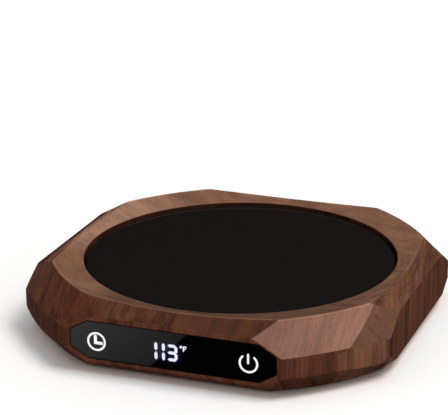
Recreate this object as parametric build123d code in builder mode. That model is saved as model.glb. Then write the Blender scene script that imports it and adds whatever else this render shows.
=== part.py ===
from build123d import *
import os
from math import cos, hypot, radians, sin, sqrt

# Electric mug warmer: a faceted body with a round well on top, a heating plate that floats
# in the well on springs and closes a small switch when a mug stands on it, and a display
# panel with touch keys in the front wall.
# Millimetres. Z is up and Z = 0 is the table. The origin is under the middle of the body.
# The display panel faces -Y and the power inlet faces +Y.

# ---------------------------------------------------------------- driving dimensions
# Heights, stacked from the table up
foot_stand = 0.8            # how far the feet stand proud of the base cover
cover_thickness = 2.4
board_standoff = 1.4        # base cover to main board
board_thickness = 1.2
component_room = 5.8        # main board to the underside of the well floor
well_floor = 1.4
plate_travel = 0.8          # how far the heating plate sinks under a mug
carrier_gap = 1.2           # carrier to well floor when the plate is down
carrier_floor = 1.4
pad_thickness = 0.6
heater_thickness = 0.4
spreader_thickness = 1.2
glass_thickness = 2.0
plate_recess = 1.2          # glass below the rim of the well
rim_drop = 2.0              # rim of the well below the crest of the body

# Plan sizes, from the plate outwards
glass_radius = 53.6
plate_gap = 0.8             # round the glass, inside the well
well_wall = 1.8
crest_margin = 2.2          # well edge to the crest, at the middle of a side
crest_ring = 10.6           # well edge to the crest, at a corner
shoulder_run = 8.4          # width of a side facet
wall = 2.2                  # thickness of the outer shell
top_wall = 2.2              # thickness of the ring round the well

# Outer facets
shoulder_drop = 3.9         # crest to the top of a side wall
facet_drop = 9.7            # crest to the bottom of a corner facet
side_half_flat = 37.0       # half the length of a side wall
corner_bulge = 1.2          # crown of a corner wall
corner_undercut_height = 7.0
corner_undercut_run = 6.3
side_undercut_height = 3.2
side_undercut_run = 4.3
edge_round = 0.5            # along every outer edge above the base
rim_round = 0.3             # along the rim of the well

# Plate carrier, seal and guides
carrier_lip = 1.6           # width of the lip under the edge of the glass
carrier_inset = 0.6         # carrier edge inside the glass edge
seal_thickness = 0.6
seal_overhang = 0.2
lip_clearance = 0.4         # spreader edge to carrier lip
pad_margin = 0.5            # pad edge inside the spreader edge
heater_margin = 2.0         # heater edge inside the spreader edge
sensor_opening_radius = 12.0
well_opening_radius = 17.0
post_inset = 13.0           # edge of the carrier to the guide posts
post_count = 3
post_radius = 2.5
post_clearance = 0.3
cup_radius = 4.4            # bore of a spring cup
cup_wall = 1.2
cup_floor = 1.0
cup_depth = 4.0             # well floor to the floor of a spring cup
spring_wire = 0.7
spring_radius = 3.6
spring_turns = 5
washer_radius = 4.2
washer_thickness = 0.8
retaining_head_radius = 2.3
retaining_head_height = 1.6
retaining_screw_radius = 1.2
retaining_screw_length = 5.0
thread_clearance = 0.05

# Switch under the plate
switch_x = 22.0
switch_y = -8.0
switch_width = 3.6
switch_length = 8.0
switch_height = 4.2
plunger_radius = 1.0
plunger_length = 3.2
plunger_stand = 1.2         # plunger above the switch body, at rest
plunger_clearance = 0.08
actuator_radius = 1.6
actuator_clearance = 1.0

# Sensors under the spreader
thermistor_radius = 1.5
thermistor_length = 8.0
fuse_radius = 2.0
fuse_length = 10.0
sensor_spacing = 5.2        # middle of the clamp to each sensor
clamp_thickness = 0.5
clamp_width = 5.0
clamp_tab = 2.4             # half the flat middle of the clamp
clamp_screw_radius = 0.9
clamp_head_radius = 1.7
clamp_head_height = 0.9
clamp_screw_length = 1.4
fuse_wire_radius = 0.4
fuse_wire_length = 1.5
heater_tab_x = 9.5          # middle of each solder tab of the heater
heater_tab_length = 4.8
heater_tab_width = 3.0

# Base cover, feet and screws
cover_clearance = 0.2
boss_radius = 3.4
boss_gap = 0.7              # boss to the outside of the well
base_screw_radius = 1.5
base_screw_head_radius = 2.8
base_screw_head_height = 1.2
base_screw_length = 9.0
counterbore_clearance = 0.2
counterbore_depth = 1.4
foot_radius = 6.0
foot_recess = 1.2
foot_clearance = 0.1
foot_gap = 1.5              # foot to the head of a base screw
vent_length = 16.0
vent_width = 1.6
vent_pitch = 4.0
vent_count = 6
vent_x = 38.0

# Main board
board_half_width = 27.0
board_front_y = -22.0
board_rear_gap = 6.2        # board to the inside of the rear wall
board_hole_inset = 4.0
board_rear_hole_inset = 8.0
standoff_radius = 2.5
board_screw_radius = 1.0
board_screw_head_radius = 1.9
board_screw_head_height = 1.3
board_screw_length = 2.9
screw_hole_clearance = 0.1

# Power inlet
inlet_width = 9.0
inlet_length = 12.0
inlet_height = 6.6
inlet_setback = 0.4         # mouth behind the rear face
inlet_bore_radius = 3.0
inlet_bore_depth = 9.5
inlet_pin_radius = 1.0
inlet_pin_setback = 1.0
inlet_pin_root = 1.2
inlet_wing_width = 2.0
inlet_wing_length = 3.0
inlet_wing_height = 0.8
inlet_opening_clearance = 0.15
notch_clearance = 0.2

# Front panel
panel_length = 71.2
panel_top_length = 59.0
panel_height = 13.2
panel_end_height = 6.0
panel_thickness = 1.5
panel_inset = 0.15          # panel face behind the front wall
panel_clearance = 0.1
panel_lower_border = 1.0    # panel above the bottom edge of the front wall
adhesive_thickness = 0.15
adhesive_margin = 0.4
backing = 1.6               # wall left behind the panel pocket
backing_margin = 2.0
display_drop = 0.6          # digits below the middle of the panel

# Display board
display_half_width = 9.0
display_height = 8.4
display_depth = 4.6
display_setback = 0.2       # digits behind the floor of the pocket
window_clearance = 0.25
display_board_half_width = 34.0
display_board_height = 12.6
display_board_thickness = 1.0
display_boss_x = 15.4
display_boss_radius = 2.4
display_screw_radius = 0.9
display_screw_head_radius = 1.7
display_screw_head_height = 1.1
display_screw_length = 3.4
key_x = 26.0                # middle of each touch key
key_opening_radius = 4.4
key_spring_radius = 3.4
key_spring_wire = 0.5
key_spring_turns = 4
key_spring_gap = 0.1
led_size = 2.2
led_height = 0.9
digit_centre_x = -1.6
digit_pitch = 3.3
digit_width = 2.7
digit_height = 5.4
segment_width = 0.6
segment_depth = 0.3

# Small parts on the main board: (x, y) of the middle of each, or its x and how far it
# stands from the rear end of the board
chip_place = (-4.0, 8.0)
chip_size = (9.0, 9.0, 1.4)
transistor_x = -18.0
transistor_setback = 26.6
transistor_size = (6.6, 6.2, 2.3)
transistor_tab_inset = 0.66
transistor_legs = 3
choke_x = 16.0
choke_setback = 20.6
choke_radius = 5.0
choke_height = 4.6
capacitor_x = (-12.0, -20.0)
capacitor_setback = 14.6
capacitor_radius = 3.2
capacitor_height = 5.2
capacitor_foot = 0.8
capacitor_groove = 0.3
capacitor_groove_level = 1.6
buzzer_place = (17.0, 16.0)
buzzer_radius = 4.6
buzzer_height = 3.6
buzzer_hole_radius = 0.9
buzzer_hole_depth = 1.8
choke_flange = 0.9
choke_core_radius = 4.2
pin_width = 0.5
pin_reach = 1.2
pin_thickness = 0.3
pin_spacing = 1.2
pin_row = 6
heater_connector_place = (-8.0, -12.5)
sensor_connector_place = (7.5, -12.5)
display_connector_place = (-12.0, -19.0)
connector_height = 4.8
connector_depth = 5.0
connector_wall = 0.8
lead_hole_depth = 2.4
lead_hold = 1.2             # how far a lead reaches into its hole
cable_slot_depth = 2.5
cable_hold = 1.25           # how far the cable reaches into its slot
lead_pitch = 3.0
heater_lead_radius = 0.6
sensor_lead_radius = 0.4
sensor_lead_spread = 0.6    # middle of the thermistor to each of its leads
cable_thickness = 0.6
cable_width = 8.0
cable_level = 9.0           # where the cable leaves the display board
cable_far_bend = 24.0       # display socket to the upper bend of the cable
cable_near_bend = 8.0       # display socket to the lower bend of the cable
cable_bend_radius = 4.0
lead_level = 12.6           # where the leads cross the opening in the well floor

# Shared small values
fit_clearance = 0.02        # pressed or moulded pieces
edge_break = 0.3
glass_edge = 0.4
screw_slot = 0.6
screw_slot_share = 1.2      # length of a cross slot, in radii of its head

# ---------------------------------------------------------------- levels and places
base_z = foot_stand
cover_top_z = base_z + cover_thickness
board_z = cover_top_z + board_standoff
board_top_z = board_z + board_thickness
well_floor_z = board_top_z + component_room
well_floor_top_z = well_floor_z + well_floor
carrier_z = well_floor_top_z + carrier_gap + plate_travel
pad_z = carrier_z + carrier_floor
heater_z = pad_z + pad_thickness
spreader_z = heater_z + heater_thickness
glass_z = spreader_z + spreader_thickness
rim_z = glass_z + glass_thickness + plate_recess
crest_z = rim_z + rim_drop
ceiling_z = rim_z - top_wall
shoulder_z = crest_z - shoulder_drop
facet_z = crest_z - facet_drop
side_undercut_z = base_z + side_undercut_height
corner_undercut_z = base_z + corner_undercut_height

well_radius = glass_radius + plate_gap
well_outer_radius = well_radius + well_wall
crest_half = well_radius + crest_margin
crest_radius = well_radius + crest_ring
body_half = crest_half + shoulder_run
base_half = body_half - side_undercut_run
corner_radius = hypot(body_half, side_half_flat)
base_radius = corner_radius - corner_undercut_run

carrier_radius = glass_radius - carrier_inset
post_circle = carrier_radius - post_inset
lip_inner_radius = carrier_radius - carrier_lip
spreader_radius = lip_inner_radius - lip_clearance
seal_z = glass_z - seal_thickness
cup_floor_z = well_floor_top_z - cup_depth
cup_bottom_z = cup_floor_z - cup_floor
washer_z = cup_bottom_z - washer_thickness
switch_top_z = board_top_z + switch_height
plunger_top_z = switch_top_z + plunger_stand
board_rear_y = body_half - wall - board_rear_gap
transistor_place = (transistor_x, board_rear_y - transistor_setback)
choke_place = (choke_x, board_rear_y - choke_setback)
capacitor_places = [(x, board_rear_y - capacitor_setback) for x in capacitor_x]
screw_circle = well_outer_radius + boss_gap + boss_radius
foot_circle = screw_circle - base_screw_head_radius - foot_gap - foot_radius
inlet_mouth_y = body_half - inlet_setback
inlet_z = board_z + inlet_height / 2
panel_face_y = -body_half + panel_inset
panel_back_y = panel_face_y + panel_thickness
pocket_floor_y = panel_back_y + adhesive_thickness
display_front_y = pocket_floor_y + display_setback
display_board_y = display_front_y + display_depth      # front face of the display board
backing_y = pocket_floor_y + backing
panel_z = side_undercut_z + panel_lower_border + panel_height / 2
display_z = panel_z - display_drop

post_places = [
    (post_circle * cos(radians(30 + turn * 360 / post_count)),
     post_circle * sin(radians(30 + turn * 360 / post_count)))
    for turn in range(post_count)
]
board_screw_places = [
    (side * (board_half_width - board_hole_inset), y)
    for side in (-1, 1)
    for y in (board_front_y + board_hole_inset, board_rear_y - board_rear_hole_inset)
]
overrun = 4.0               # how far a cutting form runs past the body

os.makedirs("parts", exist_ok=True)


# ---------------------------------------------------------------- outer form
def four_arcs(reach, crown):
    """Outline of four arcs that meet on the axes and cross the diagonals at the crown."""
    ends = [(reach, 0), (0, reach), (-reach, 0), (0, -reach)]
    middle = crown / sqrt(2)
    crowns = [(middle, middle), (-middle, middle), (-middle, -middle), (middle, -middle)]
    for turn in range(4):
        ThreePointArc(ends[turn], crowns[turn], ends[(turn + 1) % 4])


def body_form(inset):
    """The faceted body, drawn in by an inset and run on past its base and its crest."""
    low_z = base_z - overrun
    high_z = crest_z + overrun

    # Corner walls: gently crowned, with a facet above that turns to a circle at the crest
    chord = (body_half - side_half_flat) / sqrt(2)
    crown_radius = (chord**2 + corner_bulge**2) / (2 * corner_bulge)
    crown = (body_half + side_half_flat) / sqrt(2) + corner_bulge
    crown_centre = crown - crown_radius
    reach = crown_centre / sqrt(2) + sqrt((crown_radius - inset) ** 2 - crown_centre**2 / 2)
    facet_slope = (crown - crest_radius) / facet_drop
    facet_shift = inset * sqrt(1 + facet_slope**2)
    knee_z = facet_z - (facet_shift - inset) / facet_slope
    top_radius = crest_radius - facet_shift - overrun * facet_slope

    # Undercut of the corners: a cone about Z
    cone_slope = corner_undercut_run / corner_undercut_height
    cone_shift = inset * sqrt(1 + cone_slope**2)
    cone_low = base_radius - cone_shift - overrun * cone_slope
    cone_high = base_radius - cone_shift + (high_z - base_z) * cone_slope

    # Sides: the same section from the front and from the left
    shoulder_slope = shoulder_run / shoulder_drop
    side_slope = side_undercut_run / side_undercut_height
    top_half = crest_half - overrun * shoulder_slope
    low_half = base_half - overrun * side_slope
    half_section = [
        (low_half, low_z),
        (body_half, side_undercut_z),
        (body_half, shoulder_z),
        (top_half, high_z),
    ]

    with BuildPart() as form:
        with BuildSketch(Plane.XY.offset(knee_z)):
            with BuildLine():
                four_arcs(reach, crown - inset)
            make_face()
        with BuildSketch(Plane.XY.offset(high_z)):
            with BuildLine():
                four_arcs(top_radius, top_radius)
            make_face()
        loft(ruled=True)
        with BuildSketch(Plane.XY.offset(low_z)):
            with BuildLine():
                four_arcs(reach, crown - inset)
            make_face()
        extrude(amount=knee_z - low_z)
        with BuildSketch(Plane.XZ):
            with BuildLine():
                Polyline((0, low_z), (cone_low, low_z), (cone_high, high_z), (0, high_z), close=True)
            make_face()
        revolve(axis=Axis.Z, mode=Mode.INTERSECT)
        for plane in (Plane.XZ, Plane.YZ):
            with BuildSketch(plane):
                with BuildLine():
                    Polyline(
                        *half_section,
                        *[(-across, up) for across, up in reversed(half_section)],
                        close=True,
                    )
                make_face()
                if inset:
                    offset(amount=-inset, kind=Kind.INTERSECTION)
            extrude(amount=2 * body_half, both=True, mode=Mode.INTERSECT)
    return form.part


def panel_corners():
    """Corners of the panel's long octagon, seen from the front."""
    half = panel_length / 2
    top_half = panel_top_length / 2
    up = panel_height / 2
    end_up = panel_end_height / 2
    return [
        (half, -end_up), (half, end_up), (top_half, up), (-top_half, up),
        (-half, end_up), (-half, -end_up), (-top_half, -up), (top_half, -up),
    ]


def front_plane(y, x=0, z=0):
    """A plane that faces -Y, with its own origin at the given place."""
    return Plane(origin=(x, y, z), x_dir=(1, 0, 0), z_dir=(0, -1, 0))


# ---------------------------------------------------------------- top housing
# The hollow inside the shell, less what stands in it
with BuildPart() as cavity:
    add(body_form(wall))
    split(bisect_by=Plane.XY.offset(ceiling_z), keep=Keep.BOTTOM)
    with BuildSketch(Plane.XY.offset(well_floor_z)):
        Circle(well_outer_radius)
    extrude(amount=ceiling_z - well_floor_z, mode=Mode.SUBTRACT)
    with BuildSketch(Plane.XY.offset(cup_bottom_z)):
        with Locations(*post_places):
            Circle(cup_radius + cup_wall)
    extrude(amount=well_floor_top_z - cup_bottom_z, mode=Mode.SUBTRACT)
    with BuildSketch(Plane.XY.offset(cover_top_z)):
        with PolarLocations(screw_circle, 4, start_angle=45):
            Circle(boss_radius)
    extrude(amount=ceiling_z - cover_top_z, mode=Mode.SUBTRACT)
    with BuildSketch(front_plane(-body_half, z=panel_z)):
        Rectangle(panel_length + 2 * backing_margin, panel_height + 2 * backing_margin)
    extrude(amount=-(backing_y + body_half), mode=Mode.SUBTRACT)
    with BuildSketch(front_plane(backing_y, z=panel_z)):
        with GridLocations(2 * display_boss_x, 0, 2, 1):
            Circle(display_boss_radius)
    extrude(amount=-(display_board_y - backing_y), mode=Mode.SUBTRACT)

rim_slope = rim_drop / (crest_radius - well_radius)
dish_radius = crest_radius + overrun
dish_z = rim_z + rim_slope * (dish_radius - well_radius)
high_z = crest_z + overrun
with BuildPart() as top_housing:
    add(body_form(0))
    split(bisect_by=Plane.XY.offset(base_z), keep=Keep.TOP)
    # The ring dishes down to the rim of the well
    with BuildSketch(Plane.XZ):
        with BuildLine():
            Polyline(
                (0, well_floor_top_z),
                (well_radius, well_floor_top_z),
                (well_radius, rim_z),
                (dish_radius, dish_z),
                (dish_radius, high_z),
                (0, high_z),
                close=True,
            )
        make_face()
    revolve(axis=Axis.Z, mode=Mode.SUBTRACT)
    rim = top_housing.edges().filter_by_position(Axis.Z, rim_z - fit_clearance, rim_z + fit_clearance)
    fillet(rim, rim_round)
    outer_edges = top_housing.edges().filter_by(
        lambda edge: edge.center().Z > base_z + edge_round
        and hypot(edge.center().X, edge.center().Y) > well_radius
    )
    fillet(outer_edges, edge_round)
    add(cavity.part, mode=Mode.SUBTRACT)
    # Openings in the well floor: sensors and leads, the actuator, the springs and posts
    with BuildSketch(Plane.XY.offset(well_floor_z)):
        Circle(well_opening_radius)
        with Locations((switch_x, switch_y)):
            Circle(actuator_radius + actuator_clearance)
    extrude(amount=well_floor, mode=Mode.SUBTRACT)
    with BuildSketch(Plane.XY.offset(cup_floor_z)):
        with Locations(*post_places):
            Circle(cup_radius)
    extrude(amount=cup_depth, mode=Mode.SUBTRACT)
    with BuildSketch(Plane.XY.offset(cup_bottom_z)):
        with Locations(*post_places):
            Circle(post_radius + post_clearance)
    extrude(amount=cup_floor, mode=Mode.SUBTRACT)
    # Pilot holes for the base screws
    pilot_depth = base_screw_length - (cover_thickness - counterbore_depth) + screw_hole_clearance
    with BuildSketch(Plane.XY.offset(cover_top_z)):
        with PolarLocations(screw_circle, 4, start_angle=45):
            Circle(base_screw_radius + thread_clearance)
    extrude(amount=pilot_depth, mode=Mode.SUBTRACT)
    # Pocket and windows behind the panel
    with BuildSketch(front_plane(-body_half, z=panel_z)):
        with BuildLine():
            Polyline(*panel_corners(), close=True)
        make_face()
        offset(amount=panel_clearance, kind=Kind.INTERSECTION)
    extrude(amount=-(pocket_floor_y + body_half), mode=Mode.SUBTRACT)
    with BuildSketch(front_plane(pocket_floor_y, z=display_z)):
        Rectangle(2 * (display_half_width + window_clearance), display_height + 2 * window_clearance)
        with GridLocations(2 * key_x, 0, 2, 1):
            Circle(key_opening_radius)
    extrude(amount=-backing, mode=Mode.SUBTRACT)
    with BuildSketch(front_plane(display_board_y, z=panel_z)):
        with GridLocations(2 * display_boss_x, 0, 2, 1):
            Circle(display_screw_radius + thread_clearance)
    extrude(amount=display_screw_length - display_board_thickness + screw_hole_clearance, mode=Mode.SUBTRACT)
    # Opening for the power inlet in the rear wall
    with BuildSketch(front_plane(body_half, z=inlet_z)):
        Rectangle(inlet_width + 2 * inlet_opening_clearance, inlet_height + 2 * inlet_opening_clearance)
    extrude(amount=2 * wall, mode=Mode.SUBTRACT)
top_housing.part.label = "top_housing"
export_step(top_housing.part, "parts/top_housing.step")


# ---------------------------------------------------------------- shared pieces
STANDING = (Align.CENTER, Align.CENTER, Align.MIN)
HANGING = (Align.CENTER, Align.CENTER, Align.MAX)
DOWN = (180, 0, 0)          # turns +Z to -Z
FORWARD = (90, 0, 0)        # turns +Z to -Y


def screw(head_radius, head_height, shank_radius, length):
    """A cross-head screw at the current place: head below it, shank above it."""
    Cylinder(head_radius, head_height, align=HANGING)
    Cylinder(shank_radius, length, align=STANDING)
    slot_length = screw_slot_share * head_radius
    with Locations((0, 0, -head_height)):
        Box(slot_length, screw_slot, screw_slot, align=STANDING, mode=Mode.SUBTRACT)
        Box(screw_slot, slot_length, screw_slot, align=STANDING, mode=Mode.SUBTRACT)


def coil(radius, wire, turns, bottom, top):
    """A compression spring on the local Z axis, its wire between two levels."""
    with BuildPart(mode=Mode.PRIVATE) as spring:
        height = top - bottom - wire
        with BuildLine():
            path = Helix(height / turns, height, radius, center=(0, 0, bottom + wire / 2))
        with BuildSketch(Plane(origin=path @ 0, z_dir=path % 0)):
            Circle(wire / 2)
        sweep(path=path, is_frenet=True)
    return spring.part


def lead(points, radius, bend):
    """A round lead along rounded corners."""
    with BuildPart(mode=Mode.PRIVATE) as wire:
        with BuildLine():
            path = FilletPolyline(*points, radius=bend)
        with BuildSketch(Plane(origin=path @ 0, z_dir=path % 0)):
            Circle(radius)
        sweep(path=path)
    return wire.part


# ---------------------------------------------------------------- base cover and feet
mouth_radius = base_radius - wall * sqrt(1 + (corner_undercut_run / corner_undercut_height) ** 2)
mouth_half = base_half - wall * sqrt(1 + (side_undercut_run / side_undercut_height) ** 2)
foot_side = foot_circle / sqrt(2)

with BuildPart() as base_cover:
    with BuildSketch(Plane.XY.offset(base_z)):
        Circle(mouth_radius - cover_clearance)
        Rectangle(
            2 * (mouth_half - cover_clearance),
            2 * (mouth_half - cover_clearance),
            mode=Mode.INTERSECT,
        )
    extrude(amount=cover_thickness)
    with BuildSketch(Plane.XY.offset(cover_top_z)):
        with Locations(*board_screw_places):
            Circle(standoff_radius)
    extrude(amount=board_standoff)
    # Pilot holes for the board screws
    with BuildSketch(Plane.XY.offset(board_z)):
        with Locations(*board_screw_places):
            Circle(board_screw_radius + thread_clearance)
    extrude(amount=-(board_screw_length - board_thickness + screw_hole_clearance), mode=Mode.SUBTRACT)
    # Holes and counterbores for the base screws, recesses for the feet
    with BuildSketch(Plane.XY.offset(base_z)):
        with PolarLocations(screw_circle, 4, start_angle=45):
            Circle(base_screw_radius + screw_hole_clearance)
        with GridLocations(2 * vent_x, vent_pitch, 2, vent_count):
            SlotOverall(vent_length, vent_width)
    extrude(amount=cover_thickness, mode=Mode.SUBTRACT)
    with BuildSketch(Plane.XY.offset(base_z)):
        with PolarLocations(screw_circle, 4, start_angle=45):
            Circle(base_screw_head_radius + counterbore_clearance)
    extrude(amount=counterbore_depth, mode=Mode.SUBTRACT)
    with BuildSketch(Plane.XY.offset(base_z)):
        with PolarLocations(foot_circle, 4, start_angle=45):
            Circle(foot_radius + foot_clearance)
    extrude(amount=foot_recess, mode=Mode.SUBTRACT)
base_cover.part.label = "base_cover"
export_step(base_cover.part, "parts/base_cover.step")

with BuildPart() as base_screws:
    with Locations(Location((0, 0, base_z + counterbore_depth))):
        with PolarLocations(screw_circle, 4, start_angle=45):
            screw(base_screw_head_radius, base_screw_head_height, base_screw_radius, base_screw_length)
base_screws.part.label = "base_screws"
export_step(base_screws.part, "parts/base_screws.step")


def foot(x, y):
    """A round rubber pad in its recess."""
    with BuildPart() as pad:
        with Locations((x, y, 0)):
            Cylinder(foot_radius, foot_stand + foot_recess, align=STANDING)
        chamfer(pad.faces().sort_by(Axis.Z)[0].edges(), edge_break)
    return pad.part


foot_front_left = foot(-foot_side, -foot_side)
foot_front_left.label = "foot_front_left"
export_step(foot_front_left, "parts/foot_front_left.step")

foot_front_right = foot(foot_side, -foot_side)
foot_front_right.label = "foot_front_right"
export_step(foot_front_right, "parts/foot_front_right.step")

foot_rear_left = foot(-foot_side, foot_side)
foot_rear_left.label = "foot_rear_left"
export_step(foot_rear_left, "parts/foot_rear_left.step")

foot_rear_right = foot(foot_side, foot_side)
foot_rear_right.label = "foot_rear_right"
export_step(foot_rear_right, "parts/foot_rear_right.step")

# ---------------------------------------------------------------- heating plate
with BuildPart() as plate_glass:
    with Locations((0, 0, glass_z)):
        Cylinder(glass_radius, glass_thickness, align=STANDING)
    chamfer(plate_glass.faces().sort_by(Axis.Z)[-1].edges(), glass_edge)
plate_glass.part.label = "plate_glass"
export_step(plate_glass.part, "parts/plate_glass.step")

with BuildPart() as heat_spreader:
    with Locations((0, 0, spreader_z)):
        Cylinder(spreader_radius, spreader_thickness, align=STANDING)
        Cylinder(
            clamp_screw_radius + thread_clearance,
            clamp_screw_length - clamp_thickness + thread_clearance,
            align=STANDING,
            mode=Mode.SUBTRACT,
        )
heat_spreader.part.label = "heat_spreader"
export_step(heat_spreader.part, "parts/heat_spreader.step")

with BuildPart() as heater_film:
    with BuildSketch(Plane.XY.offset(heater_z)):
        Circle(spreader_radius - heater_margin)
        Circle(sensor_opening_radius, mode=Mode.SUBTRACT)
        with Locations((-heater_tab_x, -sensor_spacing), (heater_tab_x, -sensor_spacing)):
            Rectangle(heater_tab_length, heater_tab_width)
    extrude(amount=heater_thickness)
heater_film.part.label = "heater_film"
export_step(heater_film.part, "parts/heater_film.step")

with BuildPart() as insulation_pad:
    with BuildSketch(Plane.XY.offset(pad_z)):
        Circle(spreader_radius - pad_margin)
        Circle(sensor_opening_radius, mode=Mode.SUBTRACT)
    extrude(amount=pad_thickness)
insulation_pad.part.label = "insulation_pad"
export_step(insulation_pad.part, "parts/insulation_pad.step")

with BuildPart() as plate_carrier:
    with BuildSketch(Plane.XY.offset(carrier_z)):
        Circle(carrier_radius)
    extrude(amount=seal_z - carrier_z)
    with BuildSketch(Plane.XY.offset(pad_z)):
        Circle(lip_inner_radius)
    extrude(amount=seal_z - pad_z, mode=Mode.SUBTRACT)
    with BuildSketch(Plane.XY.offset(carrier_z)):
        Circle(sensor_opening_radius)
    extrude(amount=carrier_floor, mode=Mode.SUBTRACT)
    # Guide posts, and the pin that presses the switch
    with BuildSketch(Plane.XY.offset(cup_bottom_z)):
        with Locations(*post_places):
            Circle(post_radius)
    extrude(amount=carrier_z - cup_bottom_z)
    with BuildSketch(Plane.XY.offset(plunger_top_z)):
        with Locations((switch_x, switch_y)):
            Circle(actuator_radius)
    extrude(amount=carrier_z - plunger_top_z)
    with BuildSketch(Plane.XY.offset(cup_bottom_z)):
        with Locations(*post_places):
            Circle(retaining_screw_radius + thread_clearance)
    extrude(amount=retaining_screw_length, mode=Mode.SUBTRACT)
plate_carrier.part.label = "plate_carrier"
export_step(plate_carrier.part, "parts/plate_carrier.step")

with BuildPart() as plate_seal:
    with BuildSketch(Plane.XY.offset(seal_z)):
        Circle(carrier_radius + seal_overhang)
        Circle(lip_inner_radius, mode=Mode.SUBTRACT)
    extrude(amount=seal_thickness)
plate_seal.part.label = "plate_seal"
export_step(plate_seal.part, "parts/plate_seal.step")

with BuildPart() as retaining_washers:
    with BuildSketch(Plane.XY.offset(washer_z)):
        with Locations(*post_places):
            Circle(washer_radius)
            Circle(retaining_screw_radius + screw_hole_clearance, mode=Mode.SUBTRACT)
    extrude(amount=washer_thickness)
retaining_washers.part.label = "retaining_washers"
export_step(retaining_washers.part, "parts/retaining_washers.step")

with BuildPart() as retaining_screws:
    with Locations(*[(x, y, washer_z) for x, y in post_places]):
        screw(
            retaining_head_radius,
            retaining_head_height,
            retaining_screw_radius,
            retaining_screw_length,
        )
retaining_screws.part.label = "retaining_screws"
export_step(retaining_screws.part, "parts/retaining_screws.step")

plate_spring = coil(spring_radius, spring_wire, spring_turns, cup_floor_z, carrier_z)
with BuildPart() as plate_springs:
    with Locations(*post_places):
        add(plate_spring)
plate_springs.part.label = "plate_springs"
export_step(plate_springs.part, "parts/plate_springs.step")

# ---------------------------------------------------------------- sensors under the plate
thermistor_z = spreader_z - thermistor_radius
fuse_z = spreader_z - fuse_radius

with BuildPart() as thermistor:
    with Locations(Location((0, sensor_spacing, thermistor_z), (0, 90, 0))):
        Cylinder(thermistor_radius, thermistor_length)
thermistor.part.label = "thermistor"
export_step(thermistor.part, "parts/thermistor.step")

# The fuse stands in the supply of the heater: one wire rises to a tab of the heater
fuse_end = fuse_length / 2
fuse_wire = lead(
    [
        (-fuse_end - fuse_wire_length, -sensor_spacing, fuse_z),
        (heater_tab_x, -sensor_spacing, fuse_z),
        (heater_tab_x, -sensor_spacing, heater_z),
    ],
    fuse_wire_radius,
    2 * fuse_wire_radius,
)
with BuildPart() as thermal_fuse:
    with Locations(Location((0, -sensor_spacing, fuse_z), (0, 90, 0))):
        Cylinder(fuse_radius, fuse_length)
    add(fuse_wire)
thermal_fuse.part.label = "thermal_fuse"
export_step(thermal_fuse.part, "parts/thermal_fuse.step")

with BuildPart() as sensor_clamp:
    with BuildSketch(Plane.YZ):
        for y, z, radius in (
            (sensor_spacing, thermistor_z, thermistor_radius),
            (-sensor_spacing, fuse_z, fuse_radius),
        ):
            side = 1 if y > 0 else -1
            inner = radius + thread_clearance
            outer = inner + clamp_thickness
            with Locations((y, z)):
                Circle(outer)
                Circle(inner, mode=Mode.SUBTRACT)
                with Locations((0, outer)):
                    Rectangle(2 * outer, 2 * outer, mode=Mode.SUBTRACT)
            leg_y = y - side * (outer - clamp_thickness / 2)
            with Locations((leg_y, (z + spreader_z) / 2)):
                Rectangle(clamp_thickness, spreader_z - z)
            with Locations((leg_y / 2, spreader_z - clamp_thickness / 2)):
                Rectangle(abs(leg_y) + clamp_thickness, clamp_thickness)
    extrude(amount=clamp_width / 2, both=True)
    with Locations((0, 0, spreader_z)):
        Cylinder(
            clamp_screw_radius + screw_hole_clearance,
            clamp_thickness,
            align=HANGING,
            mode=Mode.SUBTRACT,
        )
sensor_clamp.part.label = "sensor_clamp"
export_step(sensor_clamp.part, "parts/sensor_clamp.step")

with BuildPart() as clamp_screw:
    with Locations((0, 0, spreader_z - clamp_thickness)):
        screw(clamp_head_radius, clamp_head_height, clamp_screw_radius, clamp_screw_length)
clamp_screw.part.label = "clamp_screw"
export_step(clamp_screw.part, "parts/clamp_screw.step")

# ---------------------------------------------------------------- main board
with BuildPart() as main_board:
    with BuildSketch(Plane.XY.offset(board_z)):
        with Locations((0, (board_front_y + board_rear_y) / 2)):
            Rectangle(2 * board_half_width, board_rear_y - board_front_y)
        with Locations(*board_screw_places):
            Circle(board_screw_radius + screw_hole_clearance, mode=Mode.SUBTRACT)
        with Locations((0, inlet_mouth_y - inlet_length / 2)):
            Rectangle(
                inlet_width + 2 * notch_clearance,
                inlet_length + 2 * notch_clearance,
                mode=Mode.SUBTRACT,
            )
    extrude(amount=board_thickness)
main_board.part.label = "main_board"
export_step(main_board.part, "parts/main_board.step")

with BuildPart() as main_board_screws:
    with Locations(*[Location((x, y, board_top_z), DOWN) for x, y in board_screw_places]):
        screw(
            board_screw_head_radius,
            board_screw_head_height,
            board_screw_radius,
            board_screw_length,
        )
main_board_screws.part.label = "main_board_screws"
export_step(main_board_screws.part, "parts/main_board_screws.step")

with BuildPart() as controller_chip:
    with Locations((*chip_place, board_top_z)):
        Box(*chip_size, align=STANDING)
    chamfer(controller_chip.faces().sort_by(Axis.Z)[-1].edges(), edge_break)
    with Locations((*chip_place, board_top_z)):
        with GridLocations(pin_spacing, 0, pin_row, 1):
            Box(pin_width, chip_size[1] + 2 * pin_reach, pin_thickness, align=STANDING)
        with GridLocations(0, pin_spacing, 1, pin_row):
            Box(chip_size[0] + 2 * pin_reach, pin_width, pin_thickness, align=STANDING)
controller_chip.part.label = "controller_chip"
export_step(controller_chip.part, "parts/controller_chip.step")

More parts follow.
